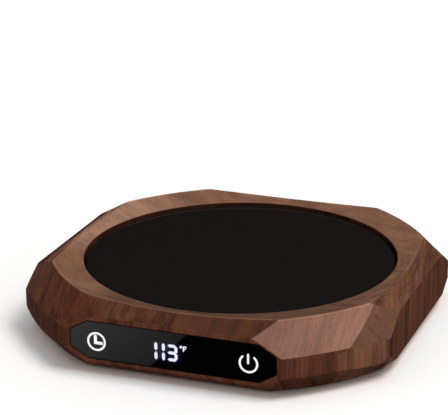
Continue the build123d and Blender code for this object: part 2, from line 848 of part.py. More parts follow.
with BuildPart() as power_transistor:
    with Locations((*transistor_place, board_top_z)):
        Box(*transistor_size, align=STANDING)
        with Locations((0, transistor_size[1] / 2, 0)):
            Box(
                transistor_size[0] - 2 * transistor_tab_inset,
                2 * pin_reach,
                pin_width,
                align=STANDING,
            )
        with Locations((0, -transistor_size[1] / 2, 0)):
            with GridLocations(2 * pin_spacing, 0, transistor_legs, 1):
                Box(pin_width, 2 * pin_reach, pin_thickness, align=STANDING)
power_transistor.part.label = "power_transistor"
export_step(power_transistor.part, "parts/power_transistor.step")

with BuildPart() as choke_coil:
    with Locations((*choke_place, board_top_z)):
        Cylinder(choke_core_radius, choke_height, align=STANDING)
        Cylinder(choke_radius, choke_flange, align=STANDING)
    with Locations((*choke_place, board_top_z + choke_height)):
        Cylinder(choke_radius, choke_flange, align=HANGING)
choke_coil.part.label = "choke_coil"
export_step(choke_coil.part, "parts/choke_coil.step")

with BuildPart() as storage_capacitors:
    with Locations(*[(x, y, board_top_z) for x, y in capacitor_places]):
        Cylinder(capacitor_radius, capacitor_height, align=STANDING)
        Box(2 * capacitor_radius, 2 * capacitor_radius, capacitor_foot, align=STANDING)
        with Locations((0, 0, capacitor_groove_level)):
            Cylinder(capacitor_radius, capacitor_groove, align=STANDING, mode=Mode.SUBTRACT)
            Cylinder(capacitor_radius - capacitor_groove, capacitor_groove, align=STANDING)
storage_capacitors.part.label = "storage_capacitors"
export_step(storage_capacitors.part, "parts/storage_capacitors.step")

with BuildPart() as buzzer:
    with Locations((*buzzer_place, board_top_z)):
        Cylinder(buzzer_radius, buzzer_height, align=STANDING)
    with Locations((*buzzer_place, board_top_z + buzzer_height)):
        Cylinder(buzzer_hole_radius, buzzer_hole_depth, align=HANGING, mode=Mode.SUBTRACT)
buzzer.part.label = "buzzer"
export_step(buzzer.part, "parts/buzzer.step")


def lead_connector(place):
    """A two-way socket on the board, open at the top for its leads."""
    with BuildPart() as connector:
        with Locations((*place, board_top_z)):
            Box(2 * lead_pitch, connector_depth, connector_height, align=STANDING)
        with Locations((*place, board_top_z + connector_height)):
            with GridLocations(lead_pitch, 0, 2, 1):
                Cylinder(
                    heater_lead_radius + thread_clearance,
                    lead_hole_depth,
                    align=HANGING,
                    mode=Mode.SUBTRACT,
                )
    return connector.part


heater_connector = lead_connector(heater_connector_place)
heater_connector.label = "heater_connector"
export_step(heater_connector, "parts/heater_connector.step")

sensor_connector = lead_connector(sensor_connector_place)
sensor_connector.label = "sensor_connector"
export_step(sensor_connector, "parts/sensor_connector.step")

socket_z = board_top_z + connector_height / 2
display_socket_y = display_connector_place[1] - connector_depth / 2
with BuildPart() as display_connector:
    with Locations((*display_connector_place, board_top_z)):
        Box(cable_width + 2 * connector_wall, connector_depth, connector_height, align=STANDING)
    with BuildSketch(front_plane(display_socket_y, display_connector_place[0], socket_z)):
        Rectangle(cable_width + 2 * thread_clearance, cable_thickness + 2 * thread_clearance)
    extrude(amount=-cable_slot_depth, mode=Mode.SUBTRACT)
display_connector.part.label = "display_connector"
export_step(display_connector.part, "parts/display_connector.step")

# ---------------------------------------------------------------- switch under the plate
with BuildPart() as switch_body:
    with Locations((switch_x, switch_y, board_top_z)):
        Box(switch_width, switch_length, switch_height, align=STANDING)
    with Locations((switch_x, switch_y, switch_top_z)):
        Cylinder(
            plunger_radius + plunger_clearance,
            plunger_length - plunger_stand + plunger_clearance + plate_travel,
            align=HANGING,
            mode=Mode.SUBTRACT,
        )
switch_body.part.label = "switch_body"
export_step(switch_body.part, "parts/switch_body.step")

with BuildPart() as switch_plunger:
    with Locations((switch_x, switch_y, plunger_top_z)):
        Cylinder(plunger_radius, plunger_length, align=HANGING)
switch_plunger.part.label = "switch_plunger"
export_step(switch_plunger.part, "parts/switch_plunger.step")

# ---------------------------------------------------------------- power inlet
with BuildPart() as power_inlet:
    with BuildSketch(front_plane(inlet_mouth_y, z=inlet_z)):
        Rectangle(inlet_width, inlet_height)
    extrude(amount=inlet_length)
    with BuildSketch(front_plane(inlet_mouth_y, z=inlet_z)):
        Circle(inlet_bore_radius)
    extrude(amount=inlet_bore_depth, mode=Mode.SUBTRACT)
    with BuildSketch(front_plane(inlet_mouth_y, z=inlet_z)):
        Circle(inlet_pin_radius + fit_clearance)
    extrude(amount=inlet_bore_depth + inlet_pin_root, mode=Mode.SUBTRACT)
    # Wings that rest on the board each side of its notch
    with Locations((0, board_rear_y - inlet_wing_length / 2, board_top_z)):
        with GridLocations(inlet_width + inlet_wing_width, 0, 2, 1):
            Box(inlet_wing_width, inlet_wing_length, inlet_wing_height, align=STANDING)
power_inlet.part.label = "power_inlet"
export_step(power_inlet.part, "parts/power_inlet.step")

with BuildPart() as inlet_pin:
    with BuildSketch(front_plane(inlet_mouth_y - inlet_pin_setback, z=inlet_z)):
        Circle(inlet_pin_radius)
    extrude(amount=inlet_bore_depth + inlet_pin_root - inlet_pin_setback)
    fillet(inlet_pin.faces().sort_by(Axis.Y)[-1].edges(), inlet_pin_radius / 2)
inlet_pin.part.label = "inlet_pin"
export_step(inlet_pin.part, "parts/inlet_pin.step")

# ---------------------------------------------------------------- leads and display cable
sensor_end = thermistor_length / 2
socket_top_z = board_top_z + connector_height
lead_bend = 2 * sensor_lead_radius
lead_half_pitch = lead_pitch / 2
left_pin_x = heater_connector_place[0] - lead_half_pitch
right_pin_x = heater_connector_place[0] + lead_half_pitch

with BuildPart() as heater_leads:
    # One lead to a tab of the heater, the other to the fuse
    for x, top_y, top_z in (
        (left_pin_x, -sensor_spacing, heater_z),
        (right_pin_x, -sensor_spacing, fuse_z - fuse_wire_radius),
    ):
        add(
            lead(
                [
                    (x, heater_connector_place[1], socket_top_z - lead_hold),
                    (x, heater_connector_place[1], lead_level),
                    (x, top_y, lead_level),
                    (x, top_y, top_z),
                ],
                heater_lead_radius,
                lead_bend,
            )
        )
heater_leads.part.label = "heater_leads"
export_step(heater_leads.part, "parts/heater_leads.step")

with BuildPart() as sensor_leads:
    for side in (-1, 1):
        pin_x = sensor_connector_place[0] + side * lead_half_pitch
        end_y = sensor_spacing - side * sensor_lead_spread
        add(
            lead(
                [
                    (pin_x, sensor_connector_place[1], socket_top_z - lead_hold),
                    (pin_x, sensor_connector_place[1], lead_level),
                    (pin_x, end_y, lead_level),
                    (pin_x, end_y, thermistor_z),
                    (sensor_end, end_y, thermistor_z),
                ],
                sensor_lead_radius,
                lead_bend,
            )
        )
sensor_leads.part.label = "sensor_leads"
export_step(sensor_leads.part, "parts/sensor_leads.step")

with BuildPart() as display_cable:
    with BuildSketch(Plane.YZ.offset(display_connector_place[0])):
        with BuildLine():
            FilletPolyline(
                (display_board_y + display_board_thickness, cable_level),
                (display_socket_y - cable_far_bend, cable_level),
                (display_socket_y - cable_near_bend, socket_z),
                (display_socket_y + cable_hold, socket_z),
                radius=cable_bend_radius,
            )
        trace(line_width=cable_thickness)
    extrude(amount=cable_width / 2, both=True)
display_cable.part.label = "display_cable"
export_step(display_cable.part, "parts/display_cable.step")

# ---------------------------------------------------------------- front panel and display
with BuildPart() as front_panel:
    with BuildSketch(front_plane(panel_back_y, z=panel_z)):
        with BuildLine():
            Polyline(*panel_corners(), close=True)
        make_face()
    extrude(amount=panel_thickness)
    chamfer(front_panel.faces().sort_by(Axis.Y)[0].edges(), edge_break)
front_panel.part.label = "front_panel"
export_step(front_panel.part, "parts/front_panel.step")

with BuildPart() as panel_adhesive:
    with BuildSketch(front_plane(pocket_floor_y, z=panel_z)):
        with BuildLine():
            Polyline(*panel_corners(), close=True)
        make_face()
        offset(amount=-adhesive_margin, kind=Kind.INTERSECTION)
        with Locations((0, display_z - panel_z)):
            Rectangle(
                2 * (display_half_width + window_clearance),
                display_height + 2 * window_clearance,
                mode=Mode.SUBTRACT,
            )
            with GridLocations(2 * key_x, 0, 2, 1):
                Circle(key_opening_radius, mode=Mode.SUBTRACT)
    extrude(amount=adhesive_thickness)
panel_adhesive.part.label = "panel_adhesive"
export_step(panel_adhesive.part, "parts/panel_adhesive.step")

with BuildPart() as display_board:
    with BuildSketch(front_plane(display_board_y, z=panel_z)):
        Rectangle(2 * display_board_half_width, display_board_height)
        with GridLocations(2 * display_boss_x, 0, 2, 1):
            Circle(display_screw_radius + screw_hole_clearance, mode=Mode.SUBTRACT)
    extrude(amount=-display_board_thickness)
display_board.part.label = "display_board"
export_step(display_board.part, "parts/display_board.step")

with BuildPart() as display_board_screws:
    board_back_y = display_board_y + display_board_thickness
    with Locations(
        *[Location((side * display_boss_x, board_back_y, panel_z), FORWARD) for side in (-1, 1)]
    ):
        screw(
            display_screw_head_radius,
            display_screw_head_height,
            display_screw_radius,
            display_screw_length,
        )
display_board_screws.part.label = "display_board_screws"
export_step(display_board_screws.part, "parts/display_board_screws.step")

with BuildPart() as digit_display:
    with BuildSketch(front_plane(display_board_y, z=display_z)):
        Rectangle(2 * display_half_width, display_height)
    extrude(amount=display_depth)
    # Segment windows of three digits
    with BuildSketch(front_plane(display_front_y, digit_centre_x, display_z)):
        with GridLocations(digit_pitch, 0, 3, 1):
            with GridLocations(0, digit_height / 2, 1, 3):
                Rectangle(digit_width - 2 * segment_width, segment_width)
            with GridLocations(digit_width - segment_width, digit_height / 2, 2, 2):
                Rectangle(segment_width, digit_height / 2 - 2 * segment_width)
    extrude(amount=-segment_depth, mode=Mode.SUBTRACT)
digit_display.part.label = "digit_display"
export_step(digit_display.part, "parts/digit_display.step")

key_spring = coil(
    key_spring_radius,
    key_spring_wire,
    key_spring_turns,
    0,
    display_board_y - panel_back_y - key_spring_gap,
)
with BuildPart() as key_springs:
    with Locations(
        *[Location((side * key_x, display_board_y, display_z), FORWARD) for side in (-1, 1)]
    ):
        add(key_spring)
key_springs.part.label = "key_springs"
export_step(key_springs.part, "parts/key_springs.step")

with BuildPart() as key_lights:
    with Locations(
        *[Location((side * key_x, display_board_y, display_z), FORWARD) for side in (-1, 1)]
    ):
        Box(led_size, led_size, led_height, align=STANDING)
key_lights.part.label = "key_lights"
export_step(key_lights.part, "parts/key_lights.step")
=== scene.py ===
import math

import bmesh
import bpy
from bpy.props import FloatProperty, FloatVectorProperty, IntProperty, PointerProperty
from mathutils import Matrix, Vector


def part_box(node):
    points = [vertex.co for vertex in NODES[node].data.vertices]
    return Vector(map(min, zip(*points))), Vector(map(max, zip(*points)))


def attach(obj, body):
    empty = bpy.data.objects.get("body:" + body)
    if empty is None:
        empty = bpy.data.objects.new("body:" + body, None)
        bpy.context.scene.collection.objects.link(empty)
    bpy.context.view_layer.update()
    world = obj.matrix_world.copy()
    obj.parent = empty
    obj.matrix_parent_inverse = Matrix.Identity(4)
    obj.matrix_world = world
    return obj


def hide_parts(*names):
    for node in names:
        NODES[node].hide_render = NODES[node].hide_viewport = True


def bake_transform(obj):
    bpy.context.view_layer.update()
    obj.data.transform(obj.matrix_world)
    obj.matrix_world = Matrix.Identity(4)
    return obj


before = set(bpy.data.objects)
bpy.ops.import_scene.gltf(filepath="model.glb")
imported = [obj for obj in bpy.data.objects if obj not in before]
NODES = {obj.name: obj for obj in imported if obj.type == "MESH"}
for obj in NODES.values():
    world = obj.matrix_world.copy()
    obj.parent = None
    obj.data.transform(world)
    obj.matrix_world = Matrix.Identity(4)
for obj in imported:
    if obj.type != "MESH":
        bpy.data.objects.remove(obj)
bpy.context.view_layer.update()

bl_info = {
    "name": "Mug Warmer",
    "version": (1, 0, 0),
    "blender": (4, 5, 0),
    "location": "3D View > Sidebar > Mug Warmer",
    "description": "Finishes of a faceted electric mug warmer with a lit front panel",
    "category": "Object",
}

MM = 0.001


# ---------------------------------------------------------------- settings


def tone(name, description, default):
    return FloatVectorProperty(
        name=name, description=description, subtype="COLOR", min=0.0, max=1.0, default=default
    )


def size(name, description, millimetres):
    default = millimetres * MM
    return FloatProperty(
        name=name, description=description, subtype="DISTANCE", unit="LENGTH", min=0.0, default=default
    )


def angle(name, description, degrees):
    default = math.radians(degrees)
    return FloatProperty(
        name=name, description=description, subtype="ANGLE", unit="ROTATION", default=default
    )


def amount(name, description, default, low=0.0, high=10.0):
    return FloatProperty(name=name, description=description, min=low, max=high, default=default)


class WarmerWood(bpy.types.PropertyGroup):
    """Tones and grain of the wood-grain film on the body, with painted sheen, highlights and shade on some
    faces
    """

    ring: tone("Ring", "Tone of the dished ring round the well", (0.189, 0.0895, 0.0530))
    # The ring's paler tone at its far left is a painted sheen.
    ring_sheen: tone("Far ring", "Tone of the ring at its far left", (0.299, 0.161, 0.106))
    facet: tone("Facets", "Tone of the facets over the front and rear", (0.0788, 0.0262, 0.0124))
    side: tone("Side facets", "Tone of the facets over the two sides", (0.119, 0.0495, 0.0280))
    left_crest: tone("Left crest", "Tone of the left facet beside the ring", (0.256, 0.120, 0.080))
    left_edge: tone("Left edge", "Tone of the left facet at its outer edge", (0.044, 0.0129, 0.0070))
    corner: tone("Dark corners", "Tone of the two darker corner facets", (0.0930, 0.0275, 0.0122))
    # The two pale corners are paler partly by their own tone and partly by a painted sheen.
    pale_corner_sheen: tone("Pale corners", "Tone of the two paler corner facets", (0.229, 0.111, 0.0750))
    wall: tone("Walls", "Tone of the upright walls and their undercuts", (0.1015, 0.0346, 0.0190))
    side_wall: tone("Side walls", "Tone of the upright walls of the two sides", (0.0720, 0.0230, 0.0106))
    # The well's wall is darker than the facets by painted shade in its recess.
    well: tone("Well", "Tone of the wall of the well", (0.050, 0.0166, 0.0094))
    fibre: size("Fibre width", "Width of one fine fibre of the grain", 0.42)
    band: size("Band width", "Width of one darker or paler band of the grain", 2.6)
    drift: size("Drift", "How far the grain wanders sideways", 2.4)
    side_turn: angle("Side turn", "Heading of the grain's sheets on the two side facets", 14)
    side_wall_turn: angle("Side wall turn", "Heading of the grain's sheets on the side walls", 76)
    patch_turn: angle("Patch turn", "Heading of the grain's sheets on the patch of a pale corner", 88)
    ring_turn: angle("Ring turn", "Heading of the grain's sheets on the dished ring", 68)
    # The paler crest is a painted highlight along its rounded edge.
    crest_highlight: amount("Crest highlight", "How much paler the crest is", 1.6, low=1.0)
    gloss: amount("Gloss", "Strength of the film's reflections", 0.07, high=1.0)


class WarmerDisplay(bpy.types.PropertyGroup):
    """Sizes and colours of what is lit on the front panel"""

    lit: tone("Lit symbols", "Colour of the two key symbols", (0.95, 0.95, 0.95))
    digits: tone("Lit digits", "Colour of the temperature", (0.83, 0.86, 1.0))
    symbol_x: size("Symbol distance", "Middle of the panel to each key symbol", 26.15)
    symbol_z: size("Symbol height", "Table to the middle of the symbols", 11.2)
    symbol_radius: size("Symbol radius", "Middle line of the ring of a symbol", 2.93)
    symbol_stroke: size("Symbol stroke", "Width of a symbol's line", 0.70)
    power_gap: angle("Power gap", "Opening at the top of the power symbol", 84)
    digit_height: size("Digit height", "Height of a digit", 5.8)
    digit_width: size("Digit width", "Width of a full digit", 3.25)
    digit_gap: size("Digit gap", "Middle of the last digit to the one before it", 3.2)
    one_pitch: size("Pitch of the ones", "From the first digit to the second", 2.6)
    digits_x: size("Digits place", "Middle of the panel to the middle of the last digit", 0.45)
    digits_z: size("Digits height", "Table to the foot of the digits", 8.1)
    segment_width: size("Segment width", "Width of one bar of a digit", 1.02)
    relief: size("Relief", "How far the lit marks stand proud of the panel", 0.03)


class WarmerBoards(bpy.types.PropertyGroup):
    """Small repeated parts on the main board"""

    winding_turns: IntProperty(
        name="Winding turns", description="Turns of copper wire on the choke", min=3, default=9
    )
    wire_radius: size("Wire radius", "Radius of the copper wire", 0.14)
    joint_radius: size("Joint radius", "Radius of a solder joint", 0.75)
    joint_height: size("Joint height", "How far a solder joint stands off the board", 0.7)


class WarmerStage(bpy.types.PropertyGroup):
    """Floor, sky and lamps"""

    floor: tone("Floor", "Colour of the floor", (0.94, 0.937, 0.935))
    # The warmer floor colour beside the body is a painted bounce of light from the wood.
    beside: tone("Floor beside", "Colour of the floor where the body warms it", (0.94, 0.83, 0.775))
    soften: amount("Soft shadow", "Share of the floor's own light round the body", 0.06, high=1.0)
    sky: amount("Sky", "Strength of the plain sky", 0.555)
    key: amount("Key", "Strength of the key lamp", 1.30)
    sheen: amount("Sheen lamp", "Power of the lamp over the right side", 2.4)


# ---------------------------------------------------------------- node trees


class Value:
    """One socket that a node gives out, for sums written in the usual way."""

    def __init__(self, tree, socket):
        self.tree = tree
        self.socket = socket

    def __add__(self, other):
        return self.tree.math("ADD", self, other)

    def __sub__(self, other):
        return self.tree.math("SUBTRACT", self, other)

    def __rsub__(self, other):
        return self.tree.math("SUBTRACT", other, self)

    def __mul__(self, other):
        return self.tree.math("MULTIPLY", self, other)

    def __truediv__(self, other):
        return self.tree.math("DIVIDE", self, other)

    def __rtruediv__(self, other):
        return self.tree.math("DIVIDE", other, self)

    def __abs__(self):
        return self.tree.math("ABSOLUTE", self)


class Outputs:
    """All that a node gives out, by name or by number."""

    def __init__(self, tree, node):
        self.tree = tree
        self.node = node

    def __getitem__(self, key):
        return Value(self.tree, self.node.outputs[key])


class Tree:
    """Short ways to place and join the nodes of one tree."""

    def __init__(self, tree):
        self.tree = tree

    def feed(self, socket, value):
        """Joins a value to a socket, or sets the socket to a plain number, colour or word."""
        if isinstance(value, Value):
            self.tree.links.new(value.socket, socket)
        elif socket.type == "VECTOR":
            socket.default_value = tuple(value)
        elif socket.type == "RGBA":
            socket.default_value = (*value, 1.0)
        else:
            socket.default_value = value

    def fill(self, node, inputs):
        """Feeds the inputs of a node, by name or by number."""
        for key, value in inputs.items():
            self.feed(node.inputs[key], value)

    def node(self, kind, inputs, **settings):
        """What a new node gives out, once it is set and fed."""
        made = self.tree.nodes.new(kind)
        for key, value in settings.items():
            setattr(made, key, value)
        self.fill(made, inputs)
        return Outputs(self, made)

    def math(self, operation, *values):
        return self.node("ShaderNodeMath", dict(enumerate(values)), operation=operation)[0]

    def most(self, greatest, *others):
        """The greatest of some numbers."""
        for other in others:
            greatest = self.math("MAXIMUM", greatest, other)
        return greatest

    def vector(self, operation, *values, **named):
        inputs = {**dict(enumerate(values)), **named}
        output = "Value" if operation == "LENGTH" else "Vector"
        return self.node("ShaderNodeVectorMath", inputs, operation=operation)[output]

    def scale(self, vector, factor):
        """A vector or a colour times a number."""
        return self.vector("SCALE", vector, Scale=factor)

    def split(self, vector):
        return self.node("ShaderNodeSeparateXYZ", {"Vector": vector})

    def join(self, x, y, z=0.0):
        return self.node("ShaderNodeCombineXYZ", {"X": x, "Y": y, "Z": z})[0]

    def noise(self, vector, scale, detail=2.0, roughness=0.5):
        inputs = {"Vector": vector, "Scale": scale, "Detail": detail, "Roughness": roughness}
        return self.node("ShaderNodeTexNoise", inputs)["Fac"]

    def waves(self, value, pitch):
        """Swings from 0 to 1 and back once in every pitch."""
        return abs(self.math("SINE", value * (math.pi / pitch)))

    def step(self, value, low, high, bottom=0.0, top=1.0, curve="SMOOTHSTEP"):
        """Bottom where the value is low, top where it is high, and smooth between them."""
        inputs = {"Value": value, "From Min": low, "From Max": high, "To Min": bottom, "To Max": top}
        return self.node("ShaderNodeMapRange", inputs, interpolation_type=curve)["Result"]

    def edge(self, value, half=0.1):
        """0 where the value is below zero and 1 where it is above, with a narrow change between."""
        return self.step(value, -half, half)

    def mix(self, factor, first, second):
        """The first colour where the factor is 0, and the second where it is 1."""
        return self.node("ShaderNodeMix", {0: factor, 6: first, 7: second}, data_type="RGBA")[2]


def new_group(kind, name, inputs, outputs):
    """A node group with named sockets: its helper, what it is given, and its end, to be filled.
    Each socket is named with its kind, or a number's socket with its default."""
    group = bpy.data.node_groups.new(name, kind)
    for way, sockets in (("INPUT", inputs), ("OUTPUT", outputs)):
        for label, meant in sockets.items():
            word = meant if isinstance(meant, str) else "Float"
            socket = group.interface.new_socket(label, in_out=way, socket_type=f"NodeSocket{word}")
            if word is not meant:
                socket.default_value = meant
    t = Tree(group)
    return t, t.node("NodeGroupInput", {}), group.nodes.new("NodeGroupOutput")


def grain_group():
    """Fibres, bands and pores of wood, in upright sheets whose heading is given by Turn."""
    t, given, end = new_group(
        "ShaderNodeTree",
        "wood_grain",
        {
            "Vector": "Vector",
            "Turn": 0.0,
            "Shortness": 1.0,
            "Fibre Width": 0.00042,
            "Band Width": 0.0026,
            "Drift": 0.0024,
        },
        {label: "Float" for label in ("Fibre", "Band", "Cloud", "Pore", "Height")},
    )
    place, fibre_width, band_width = given["Vector"], given["Fibre Width"], given["Band Width"]
    x, y, z = t.split(place)
    cosine = t.math("COSINE", given["Turn"])
    sine = t.math("SINE", given["Turn"])
    slow = t.noise(place, 34.0, 1.0) - 0.5
    quick = t.noise(place, 260.0, 2.0) - 0.5
    across = x * cosine + y * sine + (quick * 0.34 + slow) * (given["Drift"] * 2.0)
    along = y * cosine - x * sine

    def streaks(width, marks, detail, roughness=0.55):
        """Marks that follow the sheets, so many to the metre where Shortness is 1."""
        shrink = given["Shortness"] * marks
        return t.noise(t.join(across / width, along * shrink, z * (shrink * 1.3)), 1.0, detail, roughness)

    fibre = t.step(streaks(fibre_width, 210.0, 3.0, 0.65), 0.34, 0.66)
    fleck = t.step(streaks(fibre_width * 1.1, 420.0, 1.0), 0.60, 0.74)
    t.fill(
        end,
        {
            "Fibre": fibre,
            "Band": t.step(streaks(band_width, 60.0, 3.0, 0.6), 0.36, 0.64),
            "Cloud": t.step(streaks(band_width * 2.4, 110.0, 2.0), 0.36, 0.64),
            "Pore": fleck,
            "Height": fibre * 0.5 - fleck,
        },
    )
    return t.tree


SURFACE = {"Colour": "Color", "Roughness": "Float", "Height": "Float"}


def moulding_group():
    """Fine spark-eroded texture of a moulded surface, with a slow change of tone."""
    t, given, end = new_group(
        "ShaderNodeTree",
        "moulding_texture",
        {"Vector": "Vector", "Colour": "Color", "Grain Size": 0.0004, "Variation": 0.25, "Roughness": 0.5},
        SURFACE,
    )
    grain = t.noise(t.scale(given["Vector"], 1.0 / given["Grain Size"]), 1.0, 2.0)
    slow = t.noise(given["Vector"], 60.0, 2.0)
    lift = slow * 0.6 + grain * 0.4 - 0.5
    colour = t.scale(given["Colour"], lift * (given["Variation"] * 2.0) + 1.0)
    rough = (slow - 0.5) * 0.18 + given["Roughness"]
    t.fill(end, {"Colour": colour, "Roughness": rough, "Height": grain})
    return t.tree


def brushed_group():
    """Fine scratches along one direction on worked metal."""
    t, given, end = new_group(
        "ShaderNodeTree",
        "brushed_metal",
        {"Vector": "Vector", "Colour": "Color", "Stretch": "Vector", "Roughness": 0.3},
        SURFACE,
    )
    scratch = t.noise(t.vector("MULTIPLY", given["Vector"], given["Stretch"]), 1.0, 3.0, 0.6)
    cloud = t.noise(given["Vector"], 140.0, 2.0)
    colour = t.scale(given["Colour"], scratch * 0.24 + (cloud * 0.16 + 0.80))
    rough = (scratch - 0.5) * 0.3 + given["Roughness"]
    t.fill(end, {"Colour": colour, "Roughness": rough, "Height": scratch})
    return t.tree


GROUPS = {}


def group_of(maker):
    """The shader group of a maker, built the first time it is asked for."""
    if maker.__name__ not in GROUPS:
        GROUPS[maker.__name__] = maker()
    return GROUPS[maker.__name__]


# ---------------------------------------------------------------- materials


class Finish(Tree):
    """The tree of a material, with its Principled shader and the place on the object at hand."""

    def __init__(self, material):
        super().__init__(material.node_tree)
        self.material = material
        self.shader = material.node_tree.nodes["Principled BSDF"]
        self.place = self.node("ShaderNodeTexCoord", {})["Object"]

    def millimetres(self):
        """The three parts of the place, in millimetres."""
        return self.split(self.scale(self.place, 1.0 / MM))

    def bump(self, height, strength, relief):
        """The normal of a bumped surface. Relief is in millimetres."""
        inputs = {"Height": height, "Strength": strength, "Distance": relief * MM}
        return self.node("ShaderNodeBump", inputs)["Normal"]

    def done(self, inputs):
        """The material, once its shader is fed."""
        self.fill(self.shader, inputs)
        return self.material


def new_finish(name):
    material = bpy.data.materials.new(name)
    material.use_nodes = True
    return Finish(material)


def textured(name, maker, given, strength, relief, constants):
    """A material whose colour, roughness and bump come from a shader group."""
    t = new_finish(name)
    texture = t.node("ShaderNodeGroup", {"Vector": t.place, **given}, node_tree=group_of(maker))
    shown = {"Base Color": texture["Colour"], "Roughness": texture["Roughness"]}
    return t.done({**constants, **shown, "Normal": t.bump(texture["Height"], strength, relief)})


def moulded(name, colour, roughness=0.5, grain=0.4, variation=0.25, relief=0.03, milky=0.0):
    """A moulded plastic or rubber. Grain and relief are in millimetres."""
    given = {"Colour": colour, "Grain Size": grain * MM, "Variation": variation, "Roughness": roughness}
    return textured(name, moulding_group, given, 0.5, relief, {"Subsurface Weight": milky})


def brushed(name, colour, stretch, roughness=0.3, relief=0.006):
    """A bare metal. Relief is in millimetres."""
    given = {"Colour": colour, "Stretch": stretch, "Roughness": roughness}
    return textured(name, brushed_group, given, 0.4, relief, {"Metallic": 1.0})


# Faces of the body, in millimetres. The dish rises outwards from the rim of the well. The straight
# facets fall outwards, from the height that they would have at the axis.
WELL_RADIUS = 55.0
RIM_RADIUS, RIM_HEIGHT, DISH_RISE = 54.4, 21.8, 0.189
FACET_HEIGHT, FACET_FALL = 50.06, 0.464
WALL_REACH, WALL_TOP = 64.825, 14.075
# The patch of a pale corner that runs with the side facet ends at a seam. Its distance from the
# middle of the side, at one height, and how much that grows for each millimetre further down:
SEAM_HEIGHT, SEAM_PLACE, SEAM_GROWTH = 23.0, 32.9, 1.81
# The tones of the ring follow a direction that is turned by 15 degrees: its sine and cosine
ASIDE, AHEAD = 0.259, 0.966


